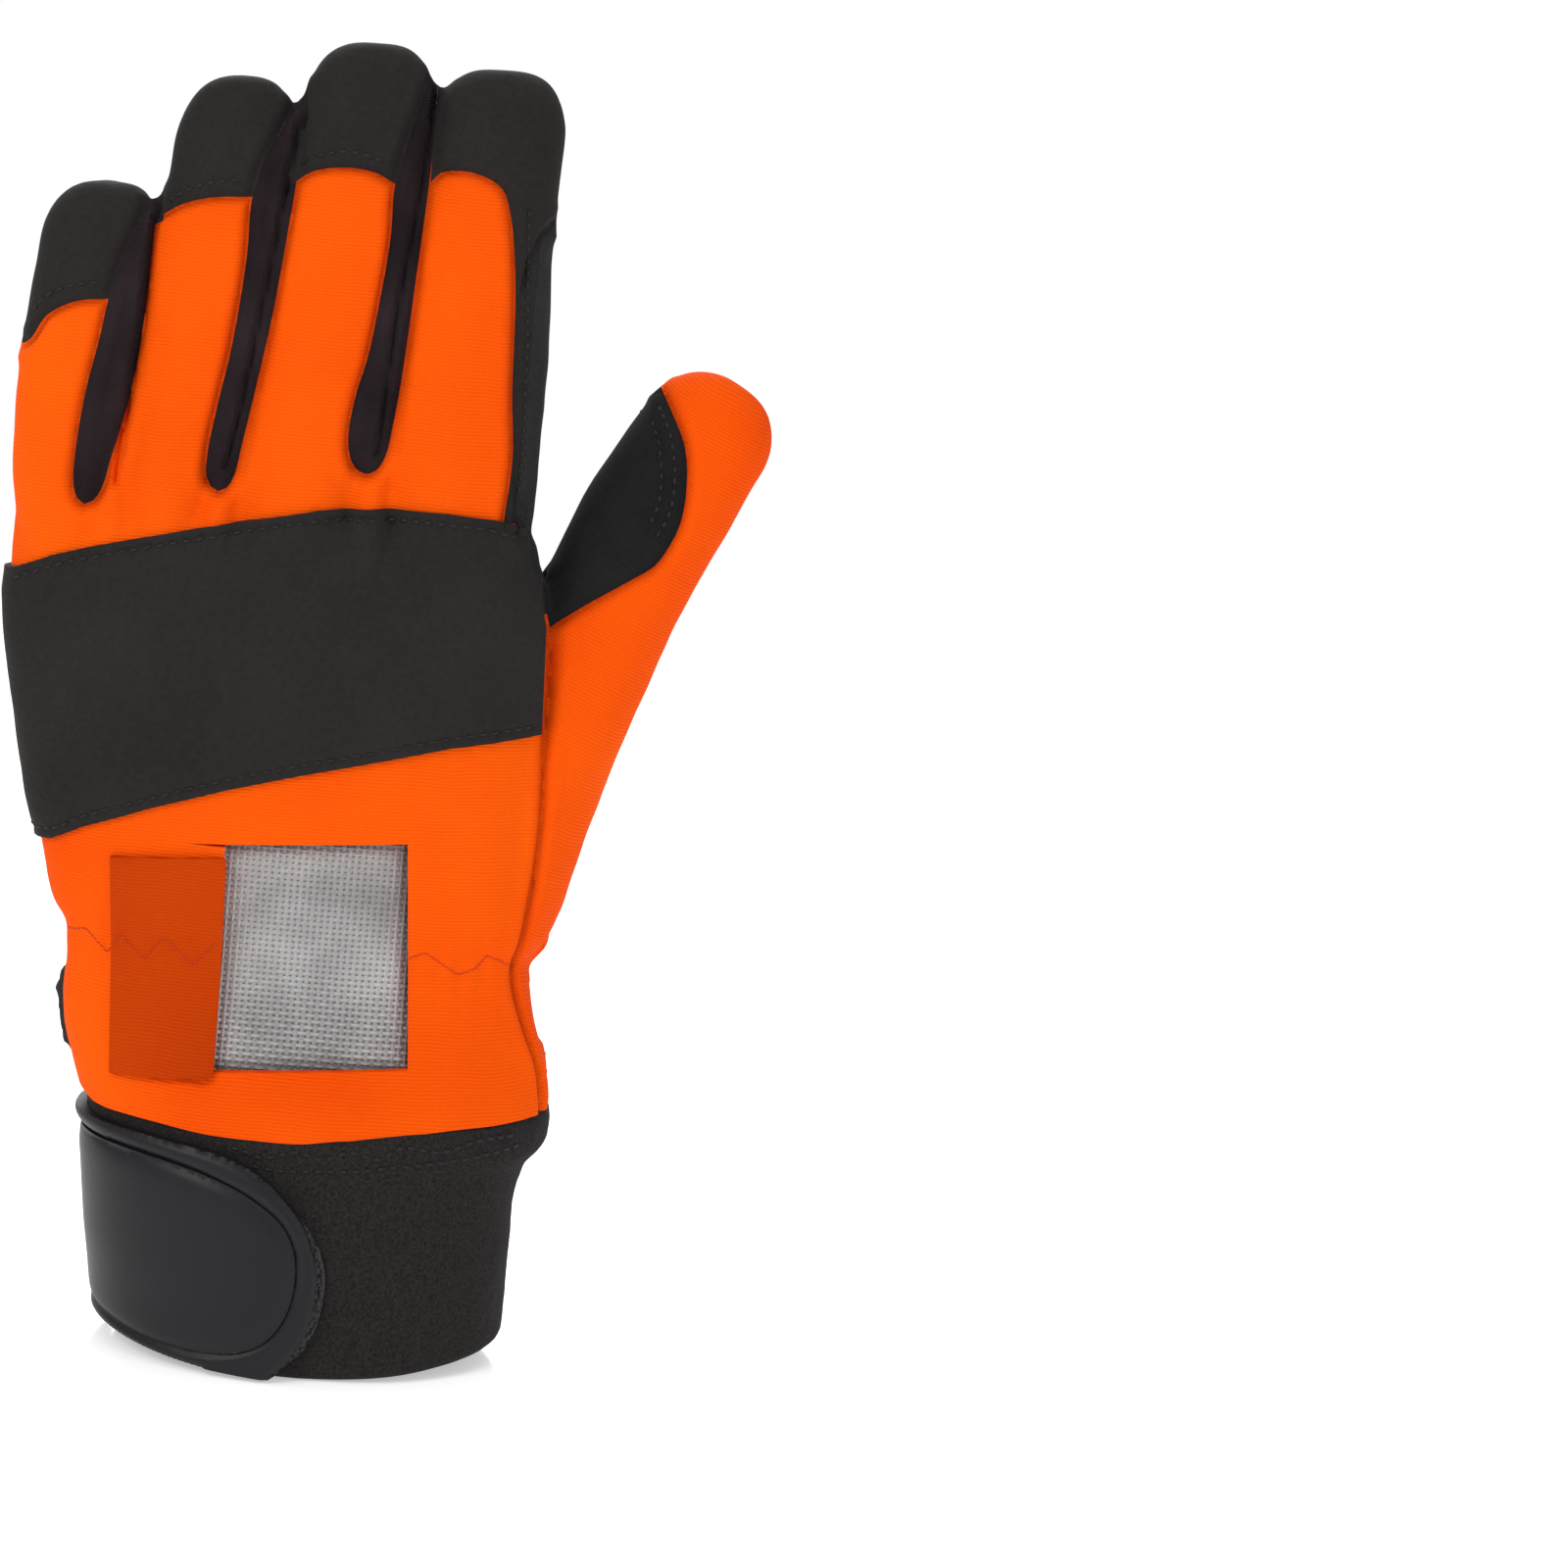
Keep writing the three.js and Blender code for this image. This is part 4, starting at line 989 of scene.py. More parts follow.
for name, outline in palm_pads.items():
    region = only(prism(outline), palm_side(finger_middle_line, 1))
    pad = raised_cloth(name + "_cloth", outline, False, palm_pad_profile, region)
    finish_piece(pad, palm_material)
    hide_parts(name)

# Finger pads
# Eight thin foam pads on the palm side of the fingers, sewn down round their edges with two rows.
# Middle low, middle high, half width, bottom, top
upper_pads = {"little": (-57.4, -56.6, 8.2, 178, 199), "ring": (-36, -33.6, 8.6, 183, 217),
              "middle": (-12, -8.8, 10.2, 184.4, 220), "index": (15.6, 17.2, 10.8, 186, 216)}
lower_pads = {"little": (-57.6, -57.8, 6.6, 160.6, 176), "ring": (-38, -36.4, 6.2, 163, 181.4),
              "middle": (-14, -12.4, 7.6, 163, 182.8), "index": (17.4, 16.6, 11, 162.4, 184.4)}
finger_pad_profile = ([0, 0.3, 0.8, 1.3, 2, 2.7, 3.6, 5, 7], [0.35, 0.75, 0.8, 0.45, 0.8, 0.45, 1, 1.5, 1.7])


def pad_outline(low, high, half, bottom, top, arched):
    """Octagon of an upper pad, or a lower pad with a rounded top and a straight foot."""
    foot = 0.4 if arched else 5
    steps = [(-1, bottom + foot), (-1, top - 5), (-0.78, top - 1.5), (-0.45, top), (0.45, top),
             (0.78, top - 1.5), (1, top - 5), (1, bottom + foot)]
    steps += [(0.98, bottom), (-0.98, bottom)] if arched else [(0.45, bottom), (-0.45, bottom)]
    return [(low + (high - low) * (z - bottom) / (top - bottom) + share * half, z) for share, z in steps]


for kind, pads in (("upper", upper_pads), ("lower", lower_pads)):
    for finger, sizes in pads.items():
        outline = pad_outline(*sizes, kind == "lower")
        region = only(prism(outline), palm_side(finger_middle_line, 1))
        pad = raised_cloth(f"finger_pad_{kind}_{finger}_cloth", outline, False, finger_pad_profile, region)
        finish_piece(pad, palm_material)
        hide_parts(f"finger_pad_{kind}_{finger}")

# Flap cut from the back panel
# The piece of orange cloth cut out of the window, folded to the left of it and lying flat, in its shade.
flap_outline = [(-43.2, 95.9), (-40.1, 54.1), (-22.4, 55.6), (-20.6, 56.4), (-20, 58), (-20.4, 76),
                (-21, 97.6), (-21.6, 98.2)]
flap_profile = ([0, 0.3, 0.8, 1.5], [1, 1.45, 1.65, 1.7])
flap = raised_cloth("cutaway_flap_cloth", flap_outline, True, flap_profile,
                    prism(flap_outline, -120, 0), sink=-0.2, finer=False)
flap_material = grouped(new_cloth("flap_orange", 0.8), cloth_ribs, 0.00007, Lean=0.0,
                        Dark=(0.4, 0.025, 0.001, 1), Light=(0.54, 0.055, 0.001, 1))
finish_piece(flap, flap_material)
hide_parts("cutaway_flap")

# Cuff, front half
# Black loop cloth that the strap closes on, with a turned hem. Its upper edge is sewn in under the back
# panel.
# Height, middle, half width, share of the depth
cuff_rows = rows_between([(0, 1.2, 38.6, 1), (8, 1.2, 38.9, 1), (22, 0.2, 40, 0.98), (36, -0.4, 41.2, 0.94),
                          (40, 0, 42.2, 0.925), (43, 0.4, 44.4, 0.918), (47, 0.2, 45.6, 0.916),
                          (53, -1.3, 46.2, 0.85)], 0.5)
CUFF_HALF_DEPTH = 31
CUFF_BLUNTNESS = 2.15
CUFF_WALL = 2
HEM_SAG = 4
SIDE_SEAM_Y = 4


def cuff_size(z):
    """Middle, half width and half depth of the cuff at a height."""
    middle, half, share = (float(np.interp(z, cuff_rows[:, 0], cuff_rows[:, i])) for i in (1, 2, 3))
    return middle, half, CUFF_HALF_DEPTH * share


def cuff_place(angle, z, offset):
    """A point of the cuff; the angle is 0 at the thumb side and a quarter turn at the palm."""
    middle, half, deep = cuff_size(z)
    c, s = math.cos(angle), math.sin(angle)
    return Vector((middle + (half + offset) * math.copysign(abs(c) ** (2 / CUFF_BLUNTNESS), c),
                   (deep + offset) * math.copysign(abs(s) ** (2 / CUFF_BLUNTNESS), s), z))


def side_angle(y):
    """How far round from the side the cuff reaches a depth y."""
    return math.asin((y / CUFF_HALF_DEPTH) ** (CUFF_BLUNTNESS / 2))


def hem_height(angle):
    """The hem rises to the sides."""
    return HEM_SAG * abs(math.cos(angle)) ** (4 / CUFF_BLUNTNESS)


def cuff_sheet(name, angle_from, angle_to, height_from, height_to, rise, thickness, step=0.66):
    """Cloth wrapped round the cuff between two angles and heights, with its height over the cuff."""
    columns = int(abs(angle_to - angle_from) * 40 / step)
    rows = int((height_to(0) - height_from(0)) / step)
    bm = bmesh.new()
    bmesh.ops.create_grid(bm, x_segments=columns, y_segments=rows, size=1)
    for vertex in bm.verts:
        angle = angle_from + (angle_to - angle_from) * (vertex.co.x + 1) / 2
        low, high = height_from(angle), height_to(angle)
        z = low + (high - low) * (vertex.co.y + 1) / 2
        vertex.co = cuff_place(angle, z, rise(angle, z))
    bm.normal_update()
    bm.faces.ensure_lookup_table()
    face = bm.faces[len(bm.faces) // 2]
    if face.normal.dot(face.calc_center_median() * Vector((1, 1, 0))) < 0:
        bmesh.ops.reverse_faces(bm, faces=bm.faces)
    piece = add_object(name, bm)
    shell = piece.modifiers.new("thickness", "SOLIDIFY")
    shell.thickness = thickness
    shell.offset = -1
    settle(piece)
    return piece


def hem_roll(angle, z):
    """The hem is turned under: its edge curves in over the last millimetre and a half."""
    up = max(0, 1.5 - (z - hem_height(angle)))
    return -0.35 * up * up


def cuff_top(angle):
    """The upper edge follows the lower edge of the back panel and hides under it."""
    if math.sin(angle) > 0.05:
        return 47.2
    middle, half, deep = cuff_size(48)
    c = math.cos(angle)
    across = middle + half * math.copysign(abs(c) ** (2 / CUFF_BLUNTNESS), c)
    return float(np.interp(across, [x for x, z in back_lower_edge], [z for x, z in back_lower_edge])) + 1.4


def tucked(angle, z):
    """The upper edge goes in under the hand of the glove."""
    return -2.5 * min(1, max(0, (z - cuff_top(angle) + 2) / 2)) ** 2


def front_rise(angle, z):
    place = cuff_place(angle, z, 0)
    return (0.35 * noise.noise(place * 0.07) + 0.12 * noise.noise(place * 0.3) + hem_roll(angle, z)
            + tucked(angle, z))


seam_turn = side_angle(SIDE_SEAM_Y - 0.15)
loop_material, loop_tree, loop_shader, loop_place = new_cloth("loop_cloth", 1.0, sheen=0.04)
loop_fuzz = noise_at(loop_tree, loop_place, 3200, 4, 0.7)
loop_tufts = noise_at(loop_tree, loop_place, 1700, 3, 0.6)
loop_tone = maths(loop_tree, "MULTIPLY_ADD", loop_tufts, 0.6, maths(loop_tree, "MULTIPLY", loop_fuzz, 0.4))
loop_colour = blend(loop_tree, stretched(loop_tree, loop_tone, 0.35, 0.68), (0.009, 0.0076, 0.0076, 1),
                    (0.034, 0.03, 0.0298, 1))
dress(loop_tree, loop_shader, loop_colour, loop_tone, 0.00022)
cuff_front = cuff_sheet("cuff_loop_cloth", math.pi - seam_turn, 2 * math.pi + seam_turn, hem_height,
                        cuff_top, front_rise, CUFF_WALL)
finish_piece(cuff_front, loop_material)
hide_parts("cuff_loop_panel")

# Cuff, palm half
# Wide woven elastic with a fine twill, sewn to the loop cloth at both sides.
elastic_turn = side_angle(SIDE_SEAM_Y + 0.15)


def elastic_rise(angle, z):
    place = cuff_place(angle, z, 0)
    return 0.3 * noise.noise(place * 0.06) + hem_roll(angle, z) + tucked(angle, z)


elastic_material, elastic_tree, elastic_shader, elastic_place = new_cloth("woven_elastic", 0.8, sheen=0.02)
elastic_split = node(elastic_tree, "ShaderNodeSeparateXYZ", None, Vector=elastic_place)
elastic_slant = maths(elastic_tree, "ADD", elastic_split.outputs[0],
                      maths(elastic_tree, "MULTIPLY", elastic_split.outputs[2], 1.3))
elastic_twill = maths(elastic_tree, "SINE", maths(elastic_tree, "MULTIPLY", elastic_slant,
                                                  2 * math.pi / 0.0011))
elastic_course = maths(elastic_tree, "SINE", maths(elastic_tree, "MULTIPLY", elastic_split.outputs[2],
                                                   2 * math.pi / 0.0008))
elastic_weave = maths(elastic_tree, "MULTIPLY_ADD", elastic_twill, 0.6, elastic_course)
elastic_tone = maths(elastic_tree, "MULTIPLY_ADD", elastic_weave, 0.2,
                     noise_at(elastic_tree, elastic_place, 900, 3))
elastic_colour = blend(elastic_tree, stretched(elastic_tree, elastic_tone, 0.2, 0.8),
                       (0.012, 0.012, 0.0135, 1), (0.032, 0.032, 0.036, 1))
dress(elastic_tree, elastic_shader, elastic_colour, elastic_weave, 0.00006)
cuff_palm = cuff_sheet("cuff_elastic_cloth", elastic_turn, math.pi - elastic_turn, hem_height,
                       cuff_top, elastic_rise, CUFF_WALL)
finish_piece(cuff_palm, elastic_material)
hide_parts("cuff_elastic")

# Closing strap
# Moulded rubber, sewn in at the little-finger side and closed on the loop cloth. A rolled rim runs round a
# sunk groove, and the field inside it is a separate smooth plate.
strap_outline = [(-60, 43.6), (-36.2, 44), (-24.8, 43.4), (-19.1, 42.8), (-13.4, 41.4), (-8.3, 38.8),
                 (-4.2, 35.2), (-0.7, 31.2), (1.6, 26.4), (3, 21.4), (3, 16.1), (2.2, 10.9), (0.1, 6),
                 (-2.6, 2), (-6, -0.6), (-12, -3), (-60, -3)]
patch_outline = [(-50, 40.4), (-40.3, 40.6), (-24.5, 39.4), (-16.8, 37.6), (-10.4, 34.9), (-4.4, 30.5),
                 (-1.9, 26.1), (-1.1, 20.3), (-2.4, 13.1), (-5.7, 7.9), (-10.3, 5.2), (-17.8, 4),
                 (-28, 4.6), (-38, 6.4), (-50, 8)]
tape_outline = [(-26, 40), (-16, 39), (-8, 37), (-2, 32.6), (2, 28), (4.4, 22), (4.6, 16), (3.4, 10),
                (0.4, 4.6), (-6, 1.6), (-26, 1.6)]
STRAP_INSIDE = 1.4
STRAP_THICKNESS = 2
strap_end_angle = math.pi - side_angle(12)
strap_tip_angle = 2 * math.pi - math.acos((3.6 / 38.7) ** (CUFF_BLUNTNESS / 2))


def on_cuff(x, z):
    """The point of the cuff's front at a place seen from the back of the hand."""
    middle, half, deep = cuff_size(z)
    share = max(-1, min(1, (x - middle) / half))
    return cuff_place(2 * math.pi - math.acos(math.copysign(abs(share) ** (CUFF_BLUNTNESS / 2), share)), z, 0)


strap_edge = [on_cuff(x, z) for x, z in smooth_line(strap_outline, 0.5, True) if x > -38 and z > 0.3]
for i in range(81):
    angle = strap_end_angle + (math.pi * 1.36 - strap_end_angle) * i / 80
    strap_edge += [cuff_place(angle, 44.2, 0), cuff_place(angle, hem_height(angle), 0)]
strap_edge_tree = tree_of(strap_edge)
plate_edge = [on_cuff(x, z) for x, z in smooth_line(patch_outline, 0.4, True) if x > -36.5]
for i in range(72):
    angle = math.pi + 0.01 * i
    across = cuff_place(angle, 7, 0).x
    plate_edge += [cuff_place(angle, float(np.interp(across, [-40, -24.5], [40.6, 39.4])), 0),
                   cuff_place(angle, float(np.interp(across, [-38, -28], [6.4, 4.6])), 0)]
plate_edge_tree = tree_of(plate_edge)
rim_profile = ([0, 0.3, 0.7, 1.3, 2, 3, 8], [-0.8, -0.25, 0.1, 0.3, 0.34, 0.25, 0.15])


def strap_rise(angle, z):
    place = cuff_place(angle, z, 0)
    groove = 0.95 * math.exp(-(plate_edge_tree.find(place)[2] / 0.95) ** 2)
    drawn_in = 0.9 * max(0, (z - 37) / 7) ** 1.5
    return (STRAP_INSIDE + STRAP_THICKNESS + float(np.interp(strap_edge_tree.find(place)[2], *rim_profile))
            - groove - drawn_in)


rubber_material, rubber_tree, rubber_shader, rubber_place = new_cloth("strap_rubber", 0.42, gloss=0.22)
rubber_grain = noise_at(rubber_tree, rubber_place, 2600, 3)
rubber_cloud = noise_at(rubber_tree, rubber_place, 50, 2)
rubber_colour = blend(rubber_tree, rubber_cloud, (0.0082, 0.0076, 0.0094, 1), (0.0126, 0.0116, 0.0144, 1))
dress(rubber_tree, rubber_shader, rubber_colour, rubber_grain, 0.00002)
rubber_tree.links.new(
    node(rubber_tree, "ShaderNodeMapRange", None, Value=rubber_cloud, To_Min=0.36, To_Max=0.5).outputs[0],
    rubber_shader.inputs["Roughness"])
strap = cuff_sheet("wrist_strap_rubber", strap_end_angle, strap_tip_angle,
                   lambda angle: hem_height(angle) + 0.2, lambda angle: 44.4, strap_rise,
                   STRAP_THICKNESS, 0.48)
strap = only(strap, prism(smooth_line(strap_outline, 1, True), -120, 12))
finish_piece(strap, rubber_material)
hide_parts("wrist_strap")

# Plate of the strap
# The smooth field inside the strap's groove, slightly domed.
plate_profile = ([0, 0.8, 1.6, 3, 5], [-0.6, -0.1, 0.15, 0.3, 0.35])


def plate_rise(angle, z):
    reach = plate_edge_tree.find(cuff_place(angle, z, 0))[2]
    return STRAP_INSIDE + STRAP_THICKNESS + 0.3 + float(np.interp(reach, *plate_profile))


plate = cuff_sheet("strap_plate_rubber", math.pi, strap_tip_angle, lambda angle: 3.6, lambda angle: 41,
                   plate_rise, 0.9, 0.5)
plate = only(plate, prism(smooth_line(patch_outline, 1, True), -120, -2))
finish_piece(plate, rubber_material)
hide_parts("strap_patch")

# Hook tape
# Nylon hook tape sewn under the strap's free end; its edge shows as a fringe of tiny hooks.
hook_material, hook_tree, hook_shader, hook_place = new_cloth("hook_nylon", 0.5, gloss=0.4)
hook_spots = node(hook_tree, "ShaderNodeTexVoronoi", None, Vector=hook_place, Scale=1100).outputs["Distance"]
hook_colour = blend(hook_tree, hook_spots, (0.03, 0.03, 0.033, 1), (0.004, 0.004, 0.0045, 1))
dress(hook_tree, hook_shader, hook_colour, maths(hook_tree, "SUBTRACT", 1.0, hook_spots), 0.0005)
tape = cuff_sheet("hook_tape_nylon", math.pi * 1.25, strap_tip_angle + 0.12, lambda angle: 1,
                  lambda angle: 41, lambda angle, z: 1.1, 0.8, 0.5)
tape = only(tape, prism(smooth_line(tape_outline, 1, True), -120, 0))
finish_piece(tape, hook_material)
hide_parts("strap_hook_tape")

# Protective mesh behind the window
# Silver cloth woven of flat threads over and under each other, stretched behind the opening, with painted
# shade on the threads along the window's edges.
MESH_PITCH_X = 1.26
MESH_PITCH_Z = 1.12
MESH_BEHIND = 2.7
MESH_WAVE = 0.22
THREAD_RADIUS = 0.47


def mesh_place(x, z, lift):
    """A point behind the back panel, on its softened surface."""
    place, normal, face, reach = body_tree.ray_cast(Vector((x, -90, z)), Vector((0, 1, 0)))
    return Vector((x, place.y + MESH_BEHIND - lift, z))


threads = bpy.data.curves.new("threads", "CURVE")
threads.dimensions = "3D"
threads.bevel_depth = THREAD_RADIUS
threads.bevel_resolution = 0
threads.use_fill_caps = True
mesh_box = (-26, 21, 53, 107.5)
columns = int((mesh_box[1] - mesh_box[0]) / MESH_PITCH_X)
rows = int((mesh_box[3] - mesh_box[2]) / MESH_PITCH_Z)
sheet_places = {}
for i in range(4 * columns + 1):
    for j in range(4 * rows + 1):
        if i % 4 == 2 or j % 4 == 2:
            sheet_places[i, j] = mesh_place(mesh_box[0] + i * MESH_PITCH_X / 4,
                                            mesh_box[2] + j * MESH_PITCH_Z / 4, 0)
for column in range(columns):
    spline = threads.splines.new("POLY")
    spline.points.add(4 * rows)
    i = 4 * column + 2
    for j in range(4 * rows + 1):
        wave = MESH_WAVE * math.sin(math.pi * (j - 2) / 4 + math.pi * (column % 2) + math.pi / 2)
        place = sheet_places[i, j] - Vector((0, wave, 0))
        spline.points[j].co = (*place, 1)
for row in range(rows):
    spline = threads.splines.new("POLY")
    spline.points.add(4 * columns)
    j = 4 * row + 2
    for i in range(4 * columns + 1):
        wave = -MESH_WAVE * math.sin(math.pi * (i - 2) / 4 + math.pi * (row % 2) + math.pi / 2)
        place = sheet_places[i, j] - Vector((0, wave, 0))
        spline.points[i].co = (*place, 1)
thread_object = bpy.data.objects.new("threads", threads)
bpy.context.scene.collection.objects.link(thread_object)
graph = bpy.context.evaluated_depsgraph_get()
woven = bpy.data.objects.new("protective_mesh_threads",
                             bpy.data.meshes.new_from_object(thread_object.evaluated_get(graph)))
bpy.context.scene.collection.objects.link(woven)
bpy.data.objects.remove(thread_object)
silver_material, silver_tree, silver_shader, silver_place = new_cloth("silver_mesh", 0.42, gloss=0.5,
                                                                      metallic=0.45)
silver_grain = noise_at(silver_tree, silver_place, 700, 2)
silver_cloud = stretched(silver_tree, noise_at(silver_tree, silver_place, 45, 2), 0.3, 0.7)
silver_split = node(silver_tree, "ShaderNodeSeparateXYZ", None, Vector=silver_place)
silver_x = silver_split.outputs[0]
silver_z = silver_split.outputs[2]
# The right, upper and lower edge of the window as lines in metres, and the distance in from the nearest,
# which sets the painted shade on the threads
right_edge = maths(silver_tree, "MULTIPLY_ADD", silver_z, -0.0872, 0.02214)
upper_edge = maths(silver_tree, "MULTIPLY_ADD", silver_x, 0.0867, 0.10256)
lower_edge = maths(silver_tree, "MULTIPLY_ADD", silver_x, 0.0807, 0.05874)
inward_for_painted_shade = maths(silver_tree, "MINIMUM", maths(silver_tree, "SUBTRACT", upper_edge, silver_z),
               maths(silver_tree, "SUBTRACT", silver_z, lower_edge))
inward_for_painted_shade = maths(silver_tree, "MINIMUM", maths(silver_tree, "SUBTRACT", right_edge, silver_x), inward_for_painted_shade)
silver_lit = blend(silver_tree, maths(silver_tree, "MULTIPLY_ADD", silver_grain, 0.4, silver_cloud),
                   (0.25, 0.25, 0.25, 1), (0.58, 0.58, 0.58, 1))
# Painted shade: the threads darken to a dark grey towards the window's right, upper and lower edges, over the
# last 2.4 mm
silver_colour = blend(silver_tree, stretched(silver_tree, inward_for_painted_shade, -0.0006, 0.0024),
                      (0.09, 0.09, 0.09, 1), silver_lit)
dress(silver_tree, silver_shader, silver_colour, silver_grain, 0.00008)
finish_piece(woven, silver_material)
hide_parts("protective_mesh")
ground_bm = bmesh.new()
bmesh.ops.create_grid(ground_bm, x_segments=columns, y_segments=rows, size=0.5)
for vertex in ground_bm.verts:
    x = mesh_box[0] + (vertex.co.x + 0.5) * (mesh_box[1] - mesh_box[0])
    z = mesh_box[2] + (vertex.co.y + 0.5) * (mesh_box[3] - mesh_box[2])
    vertex.co = mesh_place(x, z, -0.1)
ground = add_object("protective_mesh_ground", ground_bm)
shell = ground.modifiers.new("thickness", "SOLIDIFY")
shell.thickness = 0.2
shell.offset = 0
settle(ground)
ground_material, ground_tree, ground_shader, ground_place = new_cloth("silver_ground", 0.5, gloss=0.4,
                                                                      metallic=0.5)
ground_grain = noise_at(ground_tree, ground_place, 1500, 2)
ground_colour = blend(ground_tree, ground_grain, (0.1, 0.1, 0.1, 1), (0.18, 0.18, 0.18, 1))
dress(ground_tree, ground_shader, ground_colour, ground_grain, 0.00005)
finish_piece(ground, ground_material)
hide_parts("protective_mesh")

# Stitches
# Thread shows as short dark dashes sunk in the cloth: along the caps, the band, the side strip of the index
# finger, the patch, the cuff and round the pads. The gathers are held by a zigzag of red-orange thread.
thread_twist, taking, giving = node_group("thread_twist", Place="Vector", Dark="Color", Light="Color")
twist = noise_at(thread_twist, taking["Place"], 2500, 1)
thread_twist.links.new(blend(thread_twist, twist, taking["Dark"], taking["Light"]), giving["Colour"])
thread_twist.links.new(twist, giving["Height"])


def thread_rows(name, rows, material):
    """Rows of stitches as one piece. A row is (line, whether it is laid from the back, the pieces it lies
    on, stitch length, gap, width)."""
    bm = bmesh.new()
    for line, from_back, pieces, stitch, gap, width in rows:
        start, aim = (-0.09, Vector((0, 1, 0))) if from_back else (0.09, Vector((0, -1, 0)))
        places = []
        for x, z in smooth_line(line, 0.4):
            origin = Vector((x / 1000, start, z / 1000))
            hits = [piece.ray_cast(origin, aim) for piece in pieces]
            hits = [hit for hit in hits if hit[0]]
            if hits:
                nearest = min(hits, key=lambda hit: (hit[1] - origin).length)
                places.append((nearest[1] * 1000, nearest[2]))
        runs = [0]
        for (a, normal_a), (b, normal_b) in zip(places, places[1:]):
            runs.append(runs[-1] + (b - a).length)
        if len(places) < 3:
            continue
        count = int(runs[-1] / (stitch + gap))
        for i in range(count):
            low = (i + 0.2) * (stitch + gap)
            ends = [Vector([float(np.interp(s, runs, [place[k] for place, normal in places]))
                            for k in range(3)]) for s in (low, low + stitch)]
            along = (ends[1] - ends[0])
            if along.length > 1.6 * stitch or along.length < 0.4 * stitch:
                continue
            normal = places[min(len(places) - 1, int(np.searchsorted(runs, low + stitch / 2)))][1]
            side = along.cross(normal).normalized()
            up = side.cross(along).normalized()
            frame_of = Matrix((side * width / 2, up * width * 0.34, along / 2)).transposed().to_4x4()
            centre = (ends[0] + ends[1]) / 2 + up * 0.08
            bmesh.ops.create_uvsphere(bm, u_segments=6, v_segments=4, radius=1,
                                      matrix=Matrix.Translation(centre) @ frame_of)
    piece = add_object(name, bm)
    finish_piece(piece, material, 80)
    return piece


bpy.context.view_layer.update()
scene_pieces = {piece.name: piece for piece in bpy.context.scene.objects}
caps = [scene_pieces[f"fingertip_cap_{finger}_cloth"] for finger in finger_rows]
black_thread = grouped(new_cloth("black_thread", 0.6, gloss=0.3), thread_twist, 0.00005,
                       Dark=(0.006, 0.006, 0.006, 1), Light=(0.0132, 0.0132, 0.0132, 1))
cap_rows = [(line, True, caps, 1.7, 0.6, 0.75) for line in cap_stitch_lines]
cap_rows.append((side_stitch_line, True, caps + [palm], 1.4, 0.9, 0.9))
thread_rows("cap_stitches", cap_rows, black_thread)
band_top = [(-66, 146.6), (-58.8, 150.3), (-49.6, 153.4), (-29.4, 158.8), (-8.9, 163.7), (2.3, 164.9),
            (15.4, 165.3), (24, 164.8), (29.4, 163.4)]
band_foot = [(-62, 98.5), (-55.3, 99.3), (-49, 103.1), (-36.3, 108.5), (-22.3, 113.6), (-8.5, 117.7),
             (5.6, 121.3), (19.5, 124.8), (35.5, 127.4)]
thread_rows("band_stitches", [
    (band_top, True, [band], 1.8, 0.7, 0.85),
    (band_foot, True, [band], 1.8, 0.7, 0.7),
], black_thread)
thread_rows("patch_stitches", [(line, True, [crotch_patch], 1.3, 0.9, 0.85) for line in patch_stitch_lines],
            black_thread)
thread_rows("cuff_stitches", [
    ([(-16, 43.5), (-14.6, 43.7), (-9.7, 42.3), (-2.3, 44.2), (1.7, 42.9), (7.3, 45), (13.1, 43.8),
      (16.7, 46.3), (24.5, 45.5), (32, 47.6), (39.5, 48)], True, [cuff_front], 1.8, 0.6, 0.9),
    ([(-14, 41), (-6.5, 40.2), (1, 40.8), (8, 41.2), (16, 42.4), (25, 43.4), (33, 44.6), (40, 46)], True,
     [cuff_front], 1.6, 0.8, 0.8),
], black_thread)
gather_left = [(-51, 78.8), (-47.1, 80), (-42.5, 76.1), (-40.4, 80.6), (-35.4, 76.4), (-31.9, 81.3),
               (-25.9, 76.4), (-21.8, 81.4), (-19.8, 80.4)]
gather_right = [(15.1, 80.8), (18.4, 82.2), (21.4, 80.1), (25, 77.9), (28.3, 79.2), (30.3, 81.9),
                (32.8, 80.7), (36, 78.9)]
red_thread = grouped(new_cloth("red_thread", 0.6, gloss=0.3), thread_twist, 0.00005,
                     Dark=(0.34, 0.022, 0.001, 1), Light=(0.748, 0.0484, 0.0022, 1))


def zigzag(points):
    """Straight runs with sharp turns."""
    line = []
    for a, b in zip(points, points[1:]):
        line += [(a[0] + (b[0] - a[0]) * t / 4, a[1] + (b[1] - a[1]) * t / 4) for t in range(4)]
    return line + [points[-1]]


thread_rows("gather_threads", [
    (zigzag(gather_left), True, [back, flap], 0.85, 0.1, 0.34),
    (zigzag(gather_right), True, [back], 0.85, 0.1, 0.34),
], red_thread)
palm_pieces = [piece for name, piece in scene_pieces.items() if "pad_" in name and "_cloth" in name]
palm_pieces.append(palm)
pad_rows = []


def crossed_rows(low, high, half, bottom, top, inset):
    """Two rows that run up the sides of an upper pad and cross under the fingertip, like an X."""
    middle = (low + high) / 2
    w = half - inset
    neck = top - 8
    right = [(low, bottom + inset), (low + 0.5 * w, bottom + inset), (low + w, bottom + 4.6),
             (middle + w, neck - 6), (middle + 0.55 * w, neck - 1.5), (high - 0.8 * w, top - 0.6)]
    left = [(2 * low - x, z) for x, z in right[:3]] + [(2 * middle - x, z) for x, z in right[3:]]
    return left, right


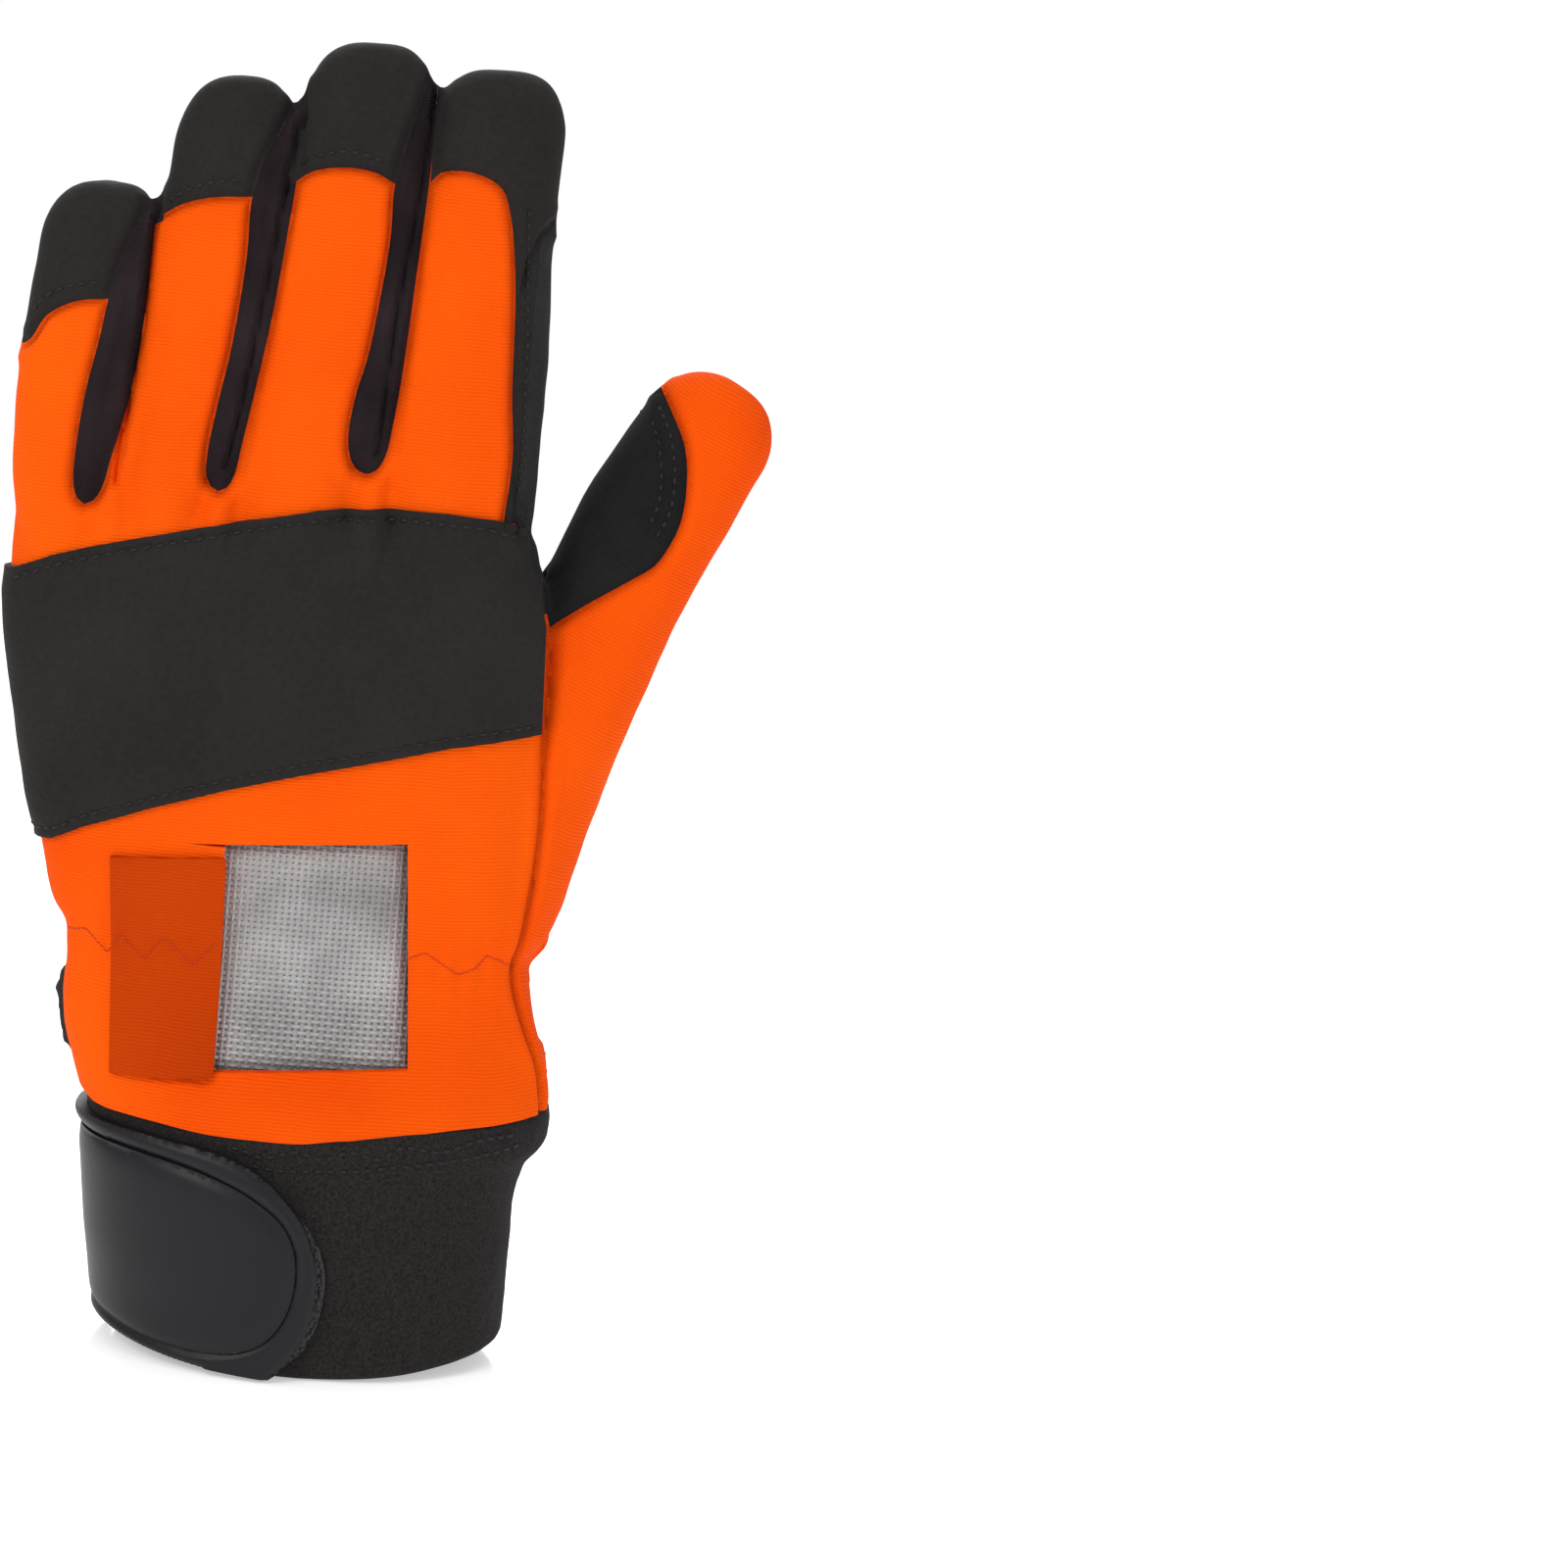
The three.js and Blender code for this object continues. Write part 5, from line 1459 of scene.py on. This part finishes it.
for finger, sizes in upper_pads.items():
    for inset in (1.3, 2.7):
        for line in crossed_rows(*sizes, inset):
            pad_rows.append((line, False, palm_pieces, 1.5, 0.9, 0.5))
for finger, sizes in lower_pads.items():
    outline = smooth_line(pad_outline(*sizes, True), 0.6, True)
    for inset in (1.3, 2.7):
        line = grown(outline, -inset)
        pad_rows.append((line + line[:1], False, palm_pieces, 1.5, 0.9, 0.5))
heel = palm_pads["palm_heel_pad"]
for line, inset in ((heel, 1.3), (heel, 2.9), (palm_pads["palm_ridge_pad"], 1.2)):
    row = grown(smooth_line(line, 1, True), -inset)
    pad_rows.append((row + row[:1], False, palm_pieces, 1.6, 0.9, 0.5))
for middle, reach, heights in ((-55.9, 7.2, (206, 211)), (-32, 8, (223, 227)), (-7.8, 8.6, (228, 232)),
                               (18.3, 9, (230, 234))):
    for z in heights:
        pad_rows.append(([(middle - reach, z - 0.4), (middle, z), (middle + reach, z + 0.4)], False,
                         palm_pieces, 1.7, 1, 0.5))
for middle, z in ((-48.3, 161.5), (-28.2, 165), (0.2, 166.5)):
    for wider in (0, 1.8):
        row = [(-5.4 - wider, 5), (-4.4 - wider, -1.4), (-2.2, -4.2 - wider), (0, -5 - wider),
               (2.2, -4.2 - wider), (4.4 + wider, -1.4), (5.4 + wider, 5)]
        row = [(middle + across, z + up) for across, up in row]
        pad_rows.append((row, False, palm_pieces, 1.3, 0.8, 0.5))
for back_by in (1.5, 3.9):
    pad_rows.append(([(54.3 - back_by, 188.4), (56.6 - back_by, 183.4), (55.5 - 1.1 * back_by, 172.4),
                      (51 - back_by, 159.6 + 0.4 * back_by), (44 - 0.8 * back_by, 147.4 + 0.6 * back_by),
                      (37 - 0.7 * back_by, 138.6 + 0.6 * back_by)], False, [crotch_patch], 1.2, 1, 0.55))
elastic_rows = [[(-37, 45.2), (-20, 45.3), (0, 45.3), (20, 45.3), (38, 45.2)],
                [(-35.4, 5.6), (-28, 3.9), (-14, 2.1), (1.2, 1.5), (16, 2.1), (30, 3.9), (37.6, 5.6)],
                [(-35.6, 5.6), (-36.2, 20), (-37.4, 36), (-38.6, 44.6)]]
thread_rows("elastic_stitches", [(row, False, [cuff_palm], 1.8, 0.8, 0.5) for row in elastic_rows],
            black_thread)
thread_rows("pad_stitches", pad_rows, black_thread)

bpy.context.view_layer.update()
